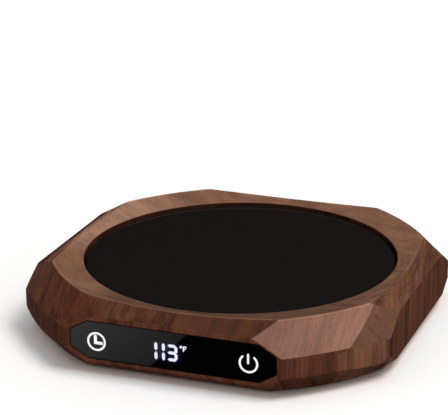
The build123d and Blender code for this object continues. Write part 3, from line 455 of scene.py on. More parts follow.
def wood_material(wood):
    """Satin wood-grain film: each face of the body has its own tone and its own run of the grain, and painted
    sheen, highlights and shade lie on some faces.
    """
    t = new_finish("wood_grain_film")
    x, y, z = t.millimetres()
    side_x, side_y = abs(x), abs(y)
    reach = t.most(side_x, side_y)
    lesser = t.math("MINIMUM", side_x, side_y)
    radius = t.vector("LENGTH", t.join(x, y))
    # Where a point is: on the dish, on a straight facet, on an upright wall, in a pale corner
    dish = z - ((radius - RIM_RADIUS) * DISH_RISE + RIM_HEIGHT)
    ring = t.step(dish, -0.22, -0.12)
    slope = abs(reach * FACET_FALL + z - FACET_HEIGHT)
    straight = t.step(slope, 0.22, 0.12)
    wall = t.most(t.edge(reach - WALL_REACH, 0.075), t.edge(WALL_TOP - z, 0.075))
    sideways = t.edge(side_x - side_y)
    outer = t.edge(radius - WELL_RADIUS)
    pale = t.step(x * y, 1.0, -1.0)
    seam = (SEAM_HEIGHT - z) * SEAM_GROWTH + SEAM_PLACE
    patch = t.edge(seam - side_y, 0.2) * sideways * (pale * outer)
    side = t.most(straight, t.edge(reach - WALL_REACH + 0.125)) * sideways * outer
    clear = 1.0 - side

    def firm(mask, bottom=0.0, top=1.0):
        """A mask with a firmer edge."""
        return t.step(mask, 0.4, 0.6, bottom, top)

    def by_zone(base, on_pale, on_patch, on_side, on_wall, on_ring):
        """A number that changes from zone to zone of the body."""
        value = firm(pale, base, on_pale)
        for mask, chosen in ((patch, on_patch), (side, on_side), (wall, on_wall), (ring, on_ring)):
            value = (chosen - value) * firm(mask) + value
        return value

    wall_turn = firm(sideways) * wood.side_wall_turn
    grain = t.node(
        "ShaderNodeGroup",
        {
            "Vector": t.place,
            "Turn": by_zone(0.0, 0.0, wood.patch_turn, wood.side_turn, wall_turn, wood.ring_turn),
            "Shortness": by_zone(0.75, 0.34, 0.5, 0.17, 0.20, 0.9),
            "Fibre Width": by_zone(1.0, 0.9, 0.9, 0.8, 0.72, 1.0) * wood.fibre,
            "Band Width": wood.band,
            "Drift": by_zone(1.0, 0.6, 0.8, 0.6, 0.34, 1.0) * wood.drift,
        },
        node_tree=group_of(grain_group),
    )

    # Tone of each place, before the grain
    # Painted shade darkens the walls of the two dark corners.
    dark_corner_shade = t.step(lesser, 35.0, 38.0) * (1.0 - pale)
    wall_tone = t.scale(wood.wall, dark_corner_shade * -0.34 + 1.0)
    # Painted shade darkens the cut under a pale corner below the wall over it, most at its rear end
    rearwards = x + y
    corner_face = t.edge(lesser / reach - (z * 0.0067 + 0.512), 0.005)
    below = t.step(rearwards, 0.0, 30.0, 7.0, 4.8) - z
    undercut_shade = pale * corner_face * t.step(below, -0.2, 0.3)
    undercut_shade = undercut_shade * t.step(z, 1.6, 3.2, 0.3, 1.0) * t.step(rearwards, -10.0, 28.0, -0.42, -0.62)
    # Painted shade darkens the ring towards the panel, the ring is a little darker at the right, and a
    # painted sheen makes it palest at the far left
    towards_panel = (x * ASIDE - y * AHEAD) / radius
    towards_left = (y * ASIDE - x * AHEAD) / radius
    towards_right = x / radius
    ring_tone = t.mix(t.step(towards_left, 0.82, 0.97), wood.ring, wood.ring_sheen)
    ring_shade = t.step(towards_panel, 0.60, 0.80, 1.0, 0.64)
    ring_tone = t.scale(ring_tone, ring_shade * t.step(towards_right, 0.80, 0.95, 1.0, 0.92))
    # The left facet pales from its outer edge up to its crest, all the more towards the rear
    left_tone = t.mix(t.step(y, -22.0, 2.0), wood.side, wood.left_crest)
    left_tone = t.mix(t.step(side_x, 60.5, 63.3), left_tone, wood.left_edge)
    side_tone = t.mix(t.step(x, -40.0, -41.0), wood.side, left_tone)
    # A pale corner, paler partly by its own tone and partly by a painted sheen, gets paler towards its rear
    # end
    pale_sheen_tone = t.scale(wood.pale_corner_sheen, t.step(rearwards, -16.0, 8.0, 0.94, 1.12))
    colour = t.mix(pale, wood.corner, pale_sheen_tone)
    colour = t.mix(straight, colour, wood.facet)
    colour = t.mix(wall, colour, wall_tone)
    colour = t.mix(patch, colour, t.scale(wood.side, 1.10))
    colour = t.scale(colour, undercut_shade + 1.0)
    colour = t.mix(side, colour, side_tone)
    colour = t.mix(side * wall, colour, wood.side_wall)
    # The wall of the well is darker by painted shade in the recess round the plate.
    colour = t.mix(outer, wood.well, colour)
    colour = t.mix(ring, colour, ring_tone)

    # The grain is softer on the ring and on the pale corners
    soft = t.most(ring, pale * clear * t.step(wall, 1.0, 0.0))
    force = soft * -0.50 + 1.0
    wave = grain["Cloud"] * 0.40 + (grain["Fibre"] * 0.40 + grain["Band"] * 0.40)
    mottle = t.noise(t.place, 900.0, 3.0, 0.7) - 0.5
    factor = mottle * 0.40 + ((wave - 0.60) * force + 0.98)
    # Dark streaks that run round the ring and over its crest, from the panel to the right
    arc = t.join(radius, t.math("ARCTAN2", y, x) * 2.4)
    streak = t.step(t.noise(arc, 1.5, 3.0, 0.6), 0.50, 0.60)
    streak = streak * t.step(towards_panel + towards_right, 0.7, 1.1)
    streak = streak * t.most(ring, side * t.step(radius, 67.0, 62.0))
    colour = t.scale(colour, factor * (streak * -0.40 + 1.0))
    pore = t.vector("MULTIPLY", colour, (0.46, 0.38, 0.34))
    colour = t.mix(grain["Pore"] * force * 0.6, colour, pore)
    # A painted highlight makes the crest paler, and most of all over a pale corner
    crest = t.step(slope, 0.42, 0.16) * t.step(dish, -0.42, -0.16) * clear
    crest = t.most(crest, t.step(radius, 64.25, 64.55) * t.step(z, 23.35, 23.6))
    crest = crest * (1.0 - patch) * t.step(pale, 0.0, 1.0, 0.35, 0.9)
    upright = t.most(wall, side)
    return t.done(
        {
            "Base Color": t.mix(crest, colour, t.scale(colour, wood.crest_highlight)),
            "Roughness": grain["Fibre"] * -0.08 + t.step(upright, 0.0, 1.0, 0.50, 0.88),
            "Specular IOR Level": t.step(upright, 0.0, 1.0, wood.gloss, wood.gloss * 0.3),
            "Normal": t.bump(grain["Height"], 0.35, 0.03),
        }
    )


def glass_material():
    """Black heating-plate glass, with the faint smears of a wiped surface."""
    t = new_finish("black_plate_glass")
    smear = t.noise(t.vector("MULTIPLY", t.place, (30.0, 90.0, 30.0)), 1.0, 4.0, 0.6)
    dust = t.step(t.noise(t.place, 2600.0, 1.0), 0.70, 0.78)
    return t.done(
        {
            "Base Color": t.mix(dust, (0.0100, 0.0082, 0.0078), (0.022, 0.021, 0.020)),
            "Roughness": t.step(smear, 0.3, 0.7, 0.05, 0.10),
        }
    )


# The glow behind the digits, in millimetres: its middle, its half width and half height, how far it
# spills round them, and the Y that only the panel's front is past
GLOW_X, GLOW_Z = -1.5, 11.0
GLOW_HALF_WIDTH, GLOW_HALF_HEIGHT = 3.9, 2.5
GLOW_SPILL, FRONT_FACE = 1.5, -64.7


def panel_material():
    """Gloss black display panel, faintly smoked, with a glow spilt round the digits."""
    t = new_finish("gloss_panel")
    x, y, z = t.millimetres()
    gap_x = t.most(abs(x - GLOW_X) - GLOW_HALF_WIDTH, 0.0)
    gap_z = t.most(abs(z - GLOW_Z) - GLOW_HALF_HEIGHT, 0.0)
    spill = t.step(t.vector("LENGTH", t.join(gap_x, gap_z)), GLOW_SPILL, 0.0) * t.edge(FRONT_FACE - y)
    cloud = t.noise(t.place, 60.0, 3.0)
    return t.done(
        {
            "Base Color": t.mix(cloud, (0.0004, 0.0004, 0.0005), (0.0008, 0.0008, 0.001)),
            "Roughness": t.step(cloud, 0.3, 0.7, 0.02, 0.045),
            "Specular IOR Level": 0.36,
            "Emission Color": t.mix(spill, (0.0, 0.0, 0.0), (0.0052, 0.0040, 0.023)),
            "Emission Strength": 1.0,
        }
    )


def lit_material(name, colour):
    """A lit mark: paler at its middle, as light through a diffuser. Like marks share it."""
    if name in bpy.data.materials:
        return bpy.data.materials[name]
    t = new_finish(name)
    cloud = t.step(t.noise(t.place, 900.0, 1.0), 0.2, 0.8, 0.94, 1.0)
    return t.done(
        {
            "Base Color": (0.0, 0.0, 0.0),
            "Roughness": 0.35,
            "Emission Color": t.scale(colour, cloud),
            "Emission Strength": 1.0,
        }
    )


# From one track of a board to the next, from one core of the cable to the next, the X of the cable's
# marked core, and from one ring of a foot to the next, in millimetres
TRACK_PITCH, CORE_PITCH, MARKED_CORE, FOOT_PITCH = 1.27, 1.0, -15.5, 1.1


def board_material():
    """Green solder mask over tracks in two directions, with small round pads."""
    t = new_finish("circuit_board")
    x, y, _ = t.millimetres()
    flat = t.join(x, y)
    cell = t.node("ShaderNodeTexVoronoi", {"Vector": flat, "Scale": 0.16, "Randomness": 0.8})
    chosen = t.math("GREATER_THAN", t.split(cell["Color"])[0], 0.5)
    upward, sideward = (t.step(t.waves(part, TRACK_PITCH), 0.90, 0.94) for part in (x, y))
    track = upward * chosen + sideward * (1.0 - chosen)
    track = track * t.step(t.noise(flat, 0.22, 1.0), 0.44, 0.47)
    dot = t.node("ShaderNodeTexVoronoi", {"Vector": flat, "Scale": 0.28, "Randomness": 0.7})
    pad = t.step(dot["Distance"], 0.20, 0.17)
    mask = t.mix(track, (0.012, 0.085, 0.035), (0.03, 0.20, 0.075))
    return t.done(
        {
            "Base Color": t.mix(pad, mask, (0.72, 0.66, 0.55)),
            "Metallic": pad * 0.9,
            "Roughness": t.step(pad, 0.0, 1.0, 0.38, 0.28),
            "Normal": t.bump(t.most(track, pad), 0.5, 0.03),
        }
    )


# The foil of the heater, in millimetres: from one arc to the next, its outer edge, and half the slit
# between its two halves
FOIL_PITCH, FOIL_RADIUS, FOIL_SLIT = 2.4, 47.45, 1.3


def heater_material():
    """Amber film over an etched foil track that runs to and fro in arcs."""
    t = new_finish("heater_film")
    x, y, _ = t.millimetres()
    radius = t.vector("LENGTH", t.join(x, y))
    foil = t.step(t.waves(radius, FOIL_PITCH), 0.42, 0.52)
    foil = foil * t.edge(abs(x) - FOIL_SLIT) * t.edge(FOIL_RADIUS - radius, 0.15)
    speck = t.noise(t.place, 700.0, 2.0)
    film = t.mix(speck, (0.50, 0.20, 0.035), (0.66, 0.31, 0.07))
    metal = t.mix(speck, (0.36, 0.17, 0.055), (0.50, 0.26, 0.10))
    return t.done(
        {
            "Base Color": t.mix(foil, film, metal),
            "Metallic": foil * 0.6,
            "Roughness": t.step(foil, 0.0, 1.0, 0.34, 0.28),
            "Normal": t.bump(foil, 0.6, 0.05),
        }
    )


def felt_material():
    """Pale felted insulation."""
    t = new_finish("insulation_felt")
    strand, other = (
        t.noise(t.vector("MULTIPLY", t.place, stretch), 1.0, 3.0, 0.7)
        for stretch in ((900.0, 2600.0, 2600.0), (2600.0, 900.0, 2600.0))
    )
    pile = t.most(strand, other)
    return t.done(
        {
            "Base Color": t.mix(t.step(pile, 0.4, 0.75), (0.60, 0.57, 0.50), (0.86, 0.84, 0.78)),
            "Roughness": t.step(pile, 0.3, 0.8, 0.98, 0.85),
            "Normal": t.bump(pile, 0.8, 0.2),
            "Sheen Weight": 0.3,
            "Sheen Roughness": 0.6,
        }
    )


def foot_material():
    """Black rubber foot with fine rings round its middle."""
    t = new_finish("foot_rubber")
    x, y, _ = t.millimetres()
    low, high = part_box("foot_front_right")
    middle = (low + high) / 2 / MM
    radius = t.vector("LENGTH", t.join(abs(x) - abs(middle.x), abs(y) - abs(middle.y)))
    speck = t.noise(t.place, 3200.0, 2.0)
    dust = t.noise(t.place, 260.0, 3.0)
    return t.done(
        {
            "Base Color": t.mix(dust, (0.010, 0.010, 0.010), (0.026, 0.025, 0.024)),
            "Roughness": t.step(speck, 0.3, 0.7, 0.68, 0.85),
            "Normal": t.bump(speck * 0.3 + t.waves(radius, FOOT_PITCH), 0.6, 0.08),
        }
    )


def leaded(name, colour, node, trims):
    """A moulded component whose low legs are tinned metal where they leave its body. The body is
    narrower than the node by a trim at each side, along X and along Y, in millimetres."""
    t = Finish(moulded(name, colour, 0.5, 0.18, 0.3, 0.02))
    low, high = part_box(node)
    gaps = [
        (top - bottom) / 2 / MM - trim - abs(place - (bottom + top) / 2 / MM)
        for place, bottom, top, trim in zip(t.millimetres(), low, high, trims)
    ]
    leg = 1.0 - t.math("GREATER_THAN", t.math("MINIMUM", *gaps), -0.02)
    body = Value(t, t.shader.inputs["Base Color"].links[0].from_socket)
    return t.done({"Base Color": t.mix(leg, body, (0.62, 0.62, 0.60)), "Metallic": leg})


def ribbon_material():
    """Flat grey cable with painted shade in the grooves between its cores, and one marked core."""
    t = new_finish("flat_cable")
    x, _, _ = t.millimetres()
    # The grooves between the cores are bumped in and darker by painted shade.
    groove_and_shade = t.step(t.waves(x, CORE_PITCH), 0.30, 0.10)
    marked = t.step(abs(x - MARKED_CORE), 0.45, 0.40)
    speck = t.noise(t.place, 1500.0, 2.0)
    colour = t.mix(speck, (0.30, 0.30, 0.31), (0.40, 0.40, 0.41))
    colour = t.mix(marked, colour, (0.35, 0.03, 0.02))
    return t.done(
        {
            "Base Color": t.mix(groove_and_shade, colour, (0.16, 0.16, 0.17)),
            "Roughness": t.step(speck, 0.2, 0.8, 0.42, 0.55),
            "Normal": t.bump(groove_and_shade, -0.6, 0.1),
        }
    )


def dress(material, *names):
    """Gives CAD nodes a material through their own slots."""
    for name in names:
        slots = NODES[name].data.materials
        if not slots:
            slots.append(material)
        for index in range(len(slots)):
            slots[index] = material


# ---------------------------------------------------------------- pieces


def new_object(name, data):
    """A new object of the scene, at the origin."""
    made = bpy.data.objects.new(name, data)
    bpy.context.scene.collection.objects.link(made)
    return made


def new_mesh(name, points, faces=()):
    mesh = bpy.data.meshes.new(name)
    mesh.from_pydata([tuple(point) for point in points], [], faces)
    return mesh


def piece(name, mesh, body, material):
    """A finished piece at the origin, riding on its body."""
    mesh.name = name
    mesh.materials.clear()
    mesh.materials.append(material)
    made = new_object(name, mesh)
    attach(made, body)


def circle(steps):
    """Points round a circle of radius 1."""
    turns = [2 * math.pi * step / steps for step in range(steps)]
    return [(math.cos(turn), math.sin(turn)) for turn in turns]


def arc_path(centre, radius, start, end, steps=40):
    """Points along an arc."""
    turns = [start + (end - start) * step / steps for step in range(steps + 1)]
    return [centre + Vector((math.cos(turn), math.sin(turn))) * radius for turn in turns]


def round_end(centre, start, steps=8):
    """Points of a half circle from an offset vector to its opposite, anticlockwise."""
    turns = [math.pi * step / steps for step in range(1, steps)]
    return [centre + Matrix.Rotation(turn, 2) @ start for turn in turns]


def side_offsets(path, half):
    """At each point of a line, the offset to its left-hand edge."""
    offsets = []
    for index, point in enumerate(path):
        ways = []
        if index > 0:
            ways.append((point - path[index - 1]).normalized())
        if index < len(path) - 1:
            ways.append((path[index + 1] - point).normalized())
        way = sum(ways, Vector((0.0, 0.0))).normalized()
        offsets.append(Vector((-way.y, way.x)) * half / max(0.3, way.dot(ways[0])))
    return offsets


def flat_solid(mesh, outline, fills, front, back):
    """Adds a closed flat solid to a bmesh: its outline, and the convex fills of its two faces
    as indices into that outline."""
    near = [mesh.verts.new((point.x, front, point.y)) for point in outline]
    far = [mesh.verts.new((point.x, back, point.y)) for point in outline]
    for fill in fills:
        mesh.faces.new([near[index] for index in fill])
        mesh.faces.new([far[index] for index in reversed(fill)])
    for index in range(len(near)):
        after = (index + 1) % len(near)
        mesh.faces.new((near[after], near[index], far[index], far[after]))


def stroke(mesh, path, width, front, back):
    """Adds an open line with round ends to a bmesh, on (x, z) points."""
    offsets = side_offsets(path, width / 2)
    right = [point - offset for point, offset in zip(path, offsets)]
    left = [point + offset for point, offset in zip(path, offsets)]
    far_cap = round_end(path[-1], -offsets[-1])
    near_cap = round_end(path[0], offsets[0])
    outline = right + far_cap + left[::-1] + near_cap
    count = len(path)
    opposite = [2 * count - 1 + len(far_cap) - index for index in range(count)]
    fills = [(index, index + 1, opposite[index + 1], opposite[index]) for index in range(count - 1)]
    fills.append(tuple(range(count - 1, opposite[-1] + 1)))
    fills.append((*range(opposite[0], len(outline)), 0))
    flat_solid(mesh, outline, fills, front, back)


def skin(mesh, loops):
    """Joins each closed loop of a bmesh's vertices to the next with a band of faces."""
    for first, second in zip(loops, loops[1:]):
        for step in range(len(first)):
            after = (step + 1) % len(first)
            mesh.faces.new((first[step], first[after], second[after], second[step]))


def ring_of(mesh, centre, radius, width, front, back, steps=64):
    """Adds a closed flat ring to a bmesh, facing the front (-Y)."""
    outside, inside = radius + width / 2, radius - width / 2
    loops = [
        [mesh.verts.new((centre.x + reach * x, y, centre.y + reach * z)) for x, z in circle(steps)]
        for reach, y in ((outside, front), (inside, front), (inside, back), (outside, back))
    ]
    skin(mesh, loops + loops[:1])


def closed_mesh(name, shape):
    """A mesh from a bmesh of closed solids, facing outwards."""
    bmesh.ops.recalc_face_normals(shape, faces=shape.faces)
    mesh = bpy.data.meshes.new(name)
    shape.to_mesh(mesh)
    shape.free()
    return mesh


def marks_depth(display):
    """Front and back Y of what is lit on the panel: proud in front, seated in the panel behind."""
    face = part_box("front_panel")[0].y
    return face - display.relief, face + display.relief * 2


# ---------------------------------------------------------------- geometry nodes


def grown(name, base, tree, values):
    """The plain mesh that a geometry tree makes from a base mesh."""
    holder = new_object(name, base)
    modifier = holder.modifiers.new(name, "NODES")
    modifier.node_group = tree
    for item in tree.interface.items_tree:
        if item.in_out == "INPUT" and item.name in values:
            modifier[item.identifier] = values[item.name]
    bpy.context.view_layer.update()
    depsgraph = bpy.context.evaluated_depsgraph_get()
    mesh = bpy.data.meshes.new_from_object(holder.evaluated_get(depsgraph), depsgraph=depsgraph)
    if not mesh.polygons:
        raise RuntimeError(f"{name} came out empty")
    holder.modifiers.clear()
    bpy.data.objects.remove(holder)
    return mesh


def set_finish(t, given, end, geometry):
    """Ends a geometry tree: real geometry in its finish."""
    real = t.node("GeometryNodeRealizeInstances", {"Geometry": geometry})[0]
    finish = t.node("GeometryNodeSetMaterial", {"Geometry": real, "Material": given["Finish"]})[0]
    t.fill(end, {"Geometry": finish})
    return t.tree


def copies_tree():
    """One piece set at every point, made longer and turned about Y by the point's own values."""
    t, given, end = new_group(
        "GeometryNodeTree",
        "copies_at_points",
        {"Geometry": "Geometry", "Piece": "Object", "Finish": "Material"},
        {"Geometry": "Geometry"},
    )
    turn, stretch = (
        t.node("GeometryNodeInputNamedAttribute", {"Name": name}, data_type="FLOAT")["Attribute"]
        for name in ("turn", "stretch")
    )
    source = t.node("GeometryNodeObjectInfo", {"Object": given["Piece"]}, transform_space="ORIGINAL")
    copies = t.node(
        "GeometryNodeInstanceOnPoints",
        {
            "Points": given["Geometry"],
            "Instance": source["Geometry"],
            "Rotation": t.join(0.0, turn),
            "Scale": t.join(stretch, 1.0, 1.0),
        },
    )
    return set_finish(t, given, end, copies[0])


def winding_tree():
    """Wire wound on a round core."""
    t, given, end = new_group(
        "GeometryNodeTree",
        "wire_winding",
        {
            "Geometry": "Geometry",
            "Turns": 9.0,
            "Core Radius": 0.003,
            "Wire Radius": 0.00014,
            "Height": 0.005,
            "Place": "Vector",
            "Finish": "Material",
        },
        {"Geometry": "Geometry"},
    )
    reach = given["Core Radius"] + given["Wire Radius"]
    helix = t.node(
        "GeometryNodeCurveSpiral",
        {
            "Resolution": 28,
            "Rotations": given["Turns"],
            "Start Radius": reach,
            "End Radius": reach,
            "Height": given["Height"],
        },
    )
    profile = t.node("GeometryNodeCurvePrimitiveCircle", {"Resolution": 8, "Radius": given["Wire Radius"]})
    wire = t.node(
        "GeometryNodeCurveToMesh", {"Curve": helix[0], "Profile Curve": profile[0], "Fill Caps": True}
    )
    smooth = t.node("GeometryNodeSetShadeSmooth", {"Geometry": wire[0]})
    placed = t.node("GeometryNodeTransform", {"Geometry": smooth[0], "Translation": given["Place"]})
    return set_finish(t, given, end, placed[0])


def copies(name, shape, points, turns, stretches, material):
    """A mesh of one closed shape at every point, with a turn and a stretch for each point."""
    places = new_mesh(f"{name}_places", points)
    for label, values in (("turn", turns), ("stretch", stretches)):
        attribute = places.attributes.new(label, "FLOAT", "POINT")
        attribute.data.foreach_set("value", values)
    source = new_object(f"{name}_source", closed_mesh(name, shape))
    mesh = grown(name, places, copies_tree(), {"Piece": source, "Finish": material})
    bpy.data.objects.remove(source)
    return mesh


# ---------------------------------------------------------------- operators


class WARMER_OT_body(bpy.types.Operator):
    """Gives the faceted body its wood-grain film"""

    bl_idname = "warmer.body"
    bl_label = "Finish the body"

    def execute(self, context):
        dress(wood_material(context.scene.warmer_wood), "top_housing")
        return {"FINISHED"}


class WARMER_OT_plate(bpy.types.Operator):
    """Finishes the heating plate and the parts under it"""

    bl_idname = "warmer.plate"
    bl_label = "Finish the heating plate"

    def execute(self, context):
        dress(glass_material(), "plate_glass")
        aluminium = brushed("spreader_aluminium", (0.78, 0.79, 0.80), (300.0, 9000.0, 9000.0), 0.32)
        dress(aluminium, "heat_spreader")
        dress(heater_material(), "heater_film")
        dress(felt_material(), "insulation_pad")
        dress(moulded("carrier_plastic", (0.045, 0.045, 0.046), 0.58, 0.35), "plate_carrier")
        dress(moulded("seal_silicone", (0.40, 0.40, 0.385), 0.55, 0.5, 0.12, 0.02, 0.1), "plate_seal")
        dress(moulded("sensor_body", (0.46, 0.29, 0.09), 0.3, 0.5, 0.3, 0.02), "thermistor", "thermal_fuse")
        sleeve = moulded("lead_insulation", (0.50, 0.035, 0.025), 0.42, 0.6, 0.15, 0.01)
        dress(sleeve, "heater_leads", "sensor_leads")
        return {"FINISHED"}


class WARMER_OT_metal(bpy.types.Operator):
    """Finishes springs, screws, washers and the inlet pin"""

    bl_idname = "warmer.metal"
    bl_label = "Finish the metal parts"

    def execute(self, context):
        steel = brushed("spring_wire", (0.58, 0.58, 0.59), (5000.0, 5000.0, 900.0), 0.26)
        dress(steel, "plate_springs", "key_springs", "sensor_clamp")
        zinc = brushed("zinc_plated_screw", (0.56, 0.57, 0.60), (2600.0, 2600.0, 2600.0), 0.34, 0.01)
        dress(zinc, "base_screws", "main_board_screws", "display_board_screws", "clamp_screw")
        dress(zinc, "retaining_screws", "retaining_washers")
        dress(brushed("brass_pin", (0.80, 0.62, 0.30), (7000.0, 300.0, 7000.0), 0.2), "inlet_pin")
        can = brushed("capacitor_can", (0.70, 0.71, 0.72), (6000.0, 6000.0, 400.0), 0.3)
        dress(can, "storage_capacitors")
        return {"FINISHED"}


# Springs and leads between the body and the plate: node, slot, and the heights of its lower and upper ends
# that stay with the body and with the plate, in millimetres
FLEXING = (
    ("plate_springs", "spring_steel", 0.0, 0.0),
    ("heater_leads", "lead_insulation", 1.2, 2.5),
    ("sensor_leads", "lead_insulation", 1.2, 1.5),
)


class WARMER_OT_flexing(bpy.types.Operator):
    """Copies the springs and leads between the body and the plate to new objects, and hides the CAD nodes"""

    bl_idname = "warmer.flexing"
    bl_label = "Add the springs and leads"

    def execute(self, context):
        for node, slot, below, above in FLEXING:
            made = new_object(f"flexing_{node}", NODES[node].data.copy())
            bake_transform(made)
            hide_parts(node)
        return {"FINISHED"}


class WARMER_OT_base(bpy.types.Operator):
    """Finishes the base cover and the four feet"""

    bl_idname = "warmer.base"
    bl_label = "Finish the base"

    def execute(self, context):
        dress(moulded("cover_plastic", (0.040, 0.037, 0.035), 0.62, 0.45, 0.3, 0.06), "base_cover")
        dress(foot_material(), *[name for name in NODES if name.startswith("foot_")])
        return {"FINISHED"}


class WARMER_OT_electrics(bpy.types.Operator):
    """Finishes the boards, what is on them and the rear inlet"""

    bl_idname = "warmer.electrics"
    bl_label = "Finish the electrics"

    def execute(self, context):
        dress(board_material(), "main_board", "display_board")
        for name, colour, node, trims in (
            ("chip_moulding", (0.020, 0.020, 0.021), "controller_chip", (0.7, 0.7)),
            ("transistor_moulding", (0.024, 0.023, 0.023), "power_transistor", (0.0, 0.8)),
        ):
            dress(leaded(name, colour, node, trims), node)
        dress(moulded("buzzer_moulding", (0.022, 0.022, 0.022), 0.42, 0.25), "buzzer")
        dress(moulded("switch_moulding", (0.03, 0.03, 0.032), 0.5, 0.25), "switch_body")
        dress(moulded("inlet_moulding", (0.018, 0.018, 0.018), 0.4, 0.22, 0.25, 0.02), "power_inlet")
        dress(moulded("choke_ferrite", (0.060, 0.060, 0.066), 0.7, 0.3, 0.4, 0.05), "choke_coil")
        nylon = moulded("nylon", (0.70, 0.68, 0.60), 0.45, 0.6, 0.1, 0.02, 0.08)
        dress(nylon, "heater_connector", "sensor_connector", "display_connector", "switch_plunger")
        diffuser = moulded("light_diffuser", (0.62, 0.64, 0.68), 0.4, 0.5, 0.08, 0.02)
        dress(diffuser, "digit_display", "key_lights")
        dress(moulded("foam_tape", (0.022, 0.022, 0.022), 0.85, 0.3, 0.5, 0.08), "panel_adhesive")
        dress(ribbon_material(), "display_cable")
        return {"FINISHED"}


class WARMER_OT_front_panel(bpy.types.Operator):
    """Gives the front panel its gloss black finish"""

    bl_idname = "warmer.front_panel"
    bl_label = "Finish the front panel"

    def execute(self, context):
        dress(panel_material(), "front_panel")
        return {"FINISHED"}


class WARMER_OT_clock_symbol(bpy.types.Operator):
    """Adds the clock of the timer key: a ring with two hands"""

    bl_idname = "warmer.clock_symbol"
    bl_label = "Add the clock symbol"

    def execute(self, context):
        display = context.scene.warmer_display
        depth = marks_depth(display)
        centre = Vector((-display.symbol_x, display.symbol_z))
        shape = bmesh.new()
        ring_of(shape, centre, display.symbol_radius, display.symbol_stroke, *depth)
        # The hands in shares of the ring's radius, half as wide again as its line
        tips = ((-0.12, 0.62), (-0.12, -0.14), (0.60, -0.14))
        hands = [centre + Vector(tip) * display.symbol_radius for tip in tips]
        stroke(shape, hands, display.symbol_stroke * 1.5, *depth)
        material = lit_material("lit_symbol", display.lit)
        piece("clock_symbol", closed_mesh("clock_symbol", shape), "housing", material)
        return {"FINISHED"}


class WARMER_OT_power_symbol(bpy.types.Operator):
    """Adds the symbol of the power key: an open ring with a bar"""

    bl_idname = "warmer.power_symbol"
    bl_label = "Add the power symbol"

    def execute(self, context):
        display = context.scene.warmer_display
        depth = marks_depth(display)
        centre = Vector((display.symbol_x, display.symbol_z))
        half_gap = display.power_gap / 2
        shape = bmesh.new()
        start = math.pi / 2 + half_gap
        end = math.pi / 2 - half_gap + 2 * math.pi
        stroke(shape, arc_path(centre, display.symbol_radius, start, end), display.symbol_stroke, *depth)
        # The bar's ends in shares of the ring's radius
        bar = [centre + Vector(tip) * display.symbol_radius for tip in ((-0.04, 0.04), (-0.04, 1.02))]
        stroke(shape, bar, display.symbol_stroke, *depth)
        material = lit_material("lit_symbol", display.lit)
        piece("power_symbol", closed_mesh("power_symbol", shape), "housing", material)
        return {"FINISHED"}


# Bars of a one and a three: half widths across, half heights up, stretch, and whether upright
ONE_BARS = [(0, 1.67, 1.16, True), (0, 0.33, 1.16, True)]
THREE_BARS = [
    (-0.24, 2, 1.22, False),
    (-0.24, 1, 1.22, False),
    (-0.24, 0, 1.22, False),
    (1, 1.5, 1.0, True),
    (1, 0.5, 1.0, True),
]


class WARMER_OT_temperature_digits(bpy.types.Operator):
    """Adds the lit bars of a three-digit temperature"""

    bl_idname = "warmer.temperature_digits"
    bl_label = "Add the temperature digits"

    def execute(self, context):
        display = context.scene.warmer_display
        width = display.segment_width
        second = display.digits_x - display.digit_gap
        first = second - display.one_pitch
        points, turns, stretches = [], [], []
        for middle, bars in ((first, ONE_BARS), (second, ONE_BARS), (display.digits_x, THREE_BARS)):
            for across, up, stretch, upright in bars:
                x = middle + across * (display.digit_width - width) / 2
                z = display.digits_z + width / 2 + up * (display.digit_height - width) / 2
                points.append((x, 0.0, z))
                turns.append(math.pi / 2 if upright else 0.0)
                stretches.append(stretch)
        # One bar is a flat six-sided solid, pointed at both ends
        long = (display.digit_height - width) / 4 + width * 0.03
        side = width / 2
        tips = [(long, 0.0), (long - side, side), (side - long, side)]
        tips += [(-x, -z) for x, z in tips]
        shape = bmesh.new()
        flat_solid(shape, [Vector(tip) for tip in tips], [tuple(range(6))], *marks_depth(display))
        material = lit_material("lit_digits", display.digits)
        mesh = copies("digit_bars", shape, points, turns, stretches, material)
        piece("temperature_digits", mesh, "housing", material)
        return {"FINISHED"}


# The unit mark, in millimetres: from the last digit to the middle of the degree ring, the ring's
# radius, and how far its middle lies under the top of the digits
UNIT_GAP, DEGREE_RADIUS, DEGREE_DROP = 1.20, 0.28, 0.42
# From the ring's middle to the stem of the F, the stem's height, how far the lower bar lies under
# the top, and how far the upper and the lower bar reach
STEM_GAP, STEM_HEIGHT, BAR_DROP, BAR_REACHES = 0.88, 1.7, 0.92, (0.88, 0.62)


class WARMER_OT_unit_mark(bpy.types.Operator):
    """Adds the small degree ring and F beside the digits"""

    bl_idname = "warmer.unit_mark"
    bl_label = "Add the unit mark"

    def execute(self, context):
        display = context.scene.warmer_display
        depth = marks_depth(display)
        top = display.digits_z + display.digit_height
        left = display.digits_x + display.digit_width / 2 + UNIT_GAP * MM
        line = display.segment_width * 0.44
        shape = bmesh.new()
        centre = Vector((left, top - DEGREE_DROP * MM))
        ring_of(shape, centre, DEGREE_RADIUS * MM, line * 0.72, *depth, 24)
        stem = left + STEM_GAP * MM
        levels = (top - line / 2, top - BAR_DROP * MM)
        stroke(shape, [Vector((stem, top - STEM_HEIGHT * MM)), Vector((stem, levels[0]))], line, *depth)
        for level, reach in zip(levels, BAR_REACHES):
            bar = [Vector((stem + line / 2, level)), Vector((stem + reach * MM, level))]
            stroke(shape, bar, line, *depth)
        material = lit_material("lit_digits", display.digits)
        piece("unit_mark", closed_mesh("unit_mark", shape), "housing", material)
        return {"FINISHED"}


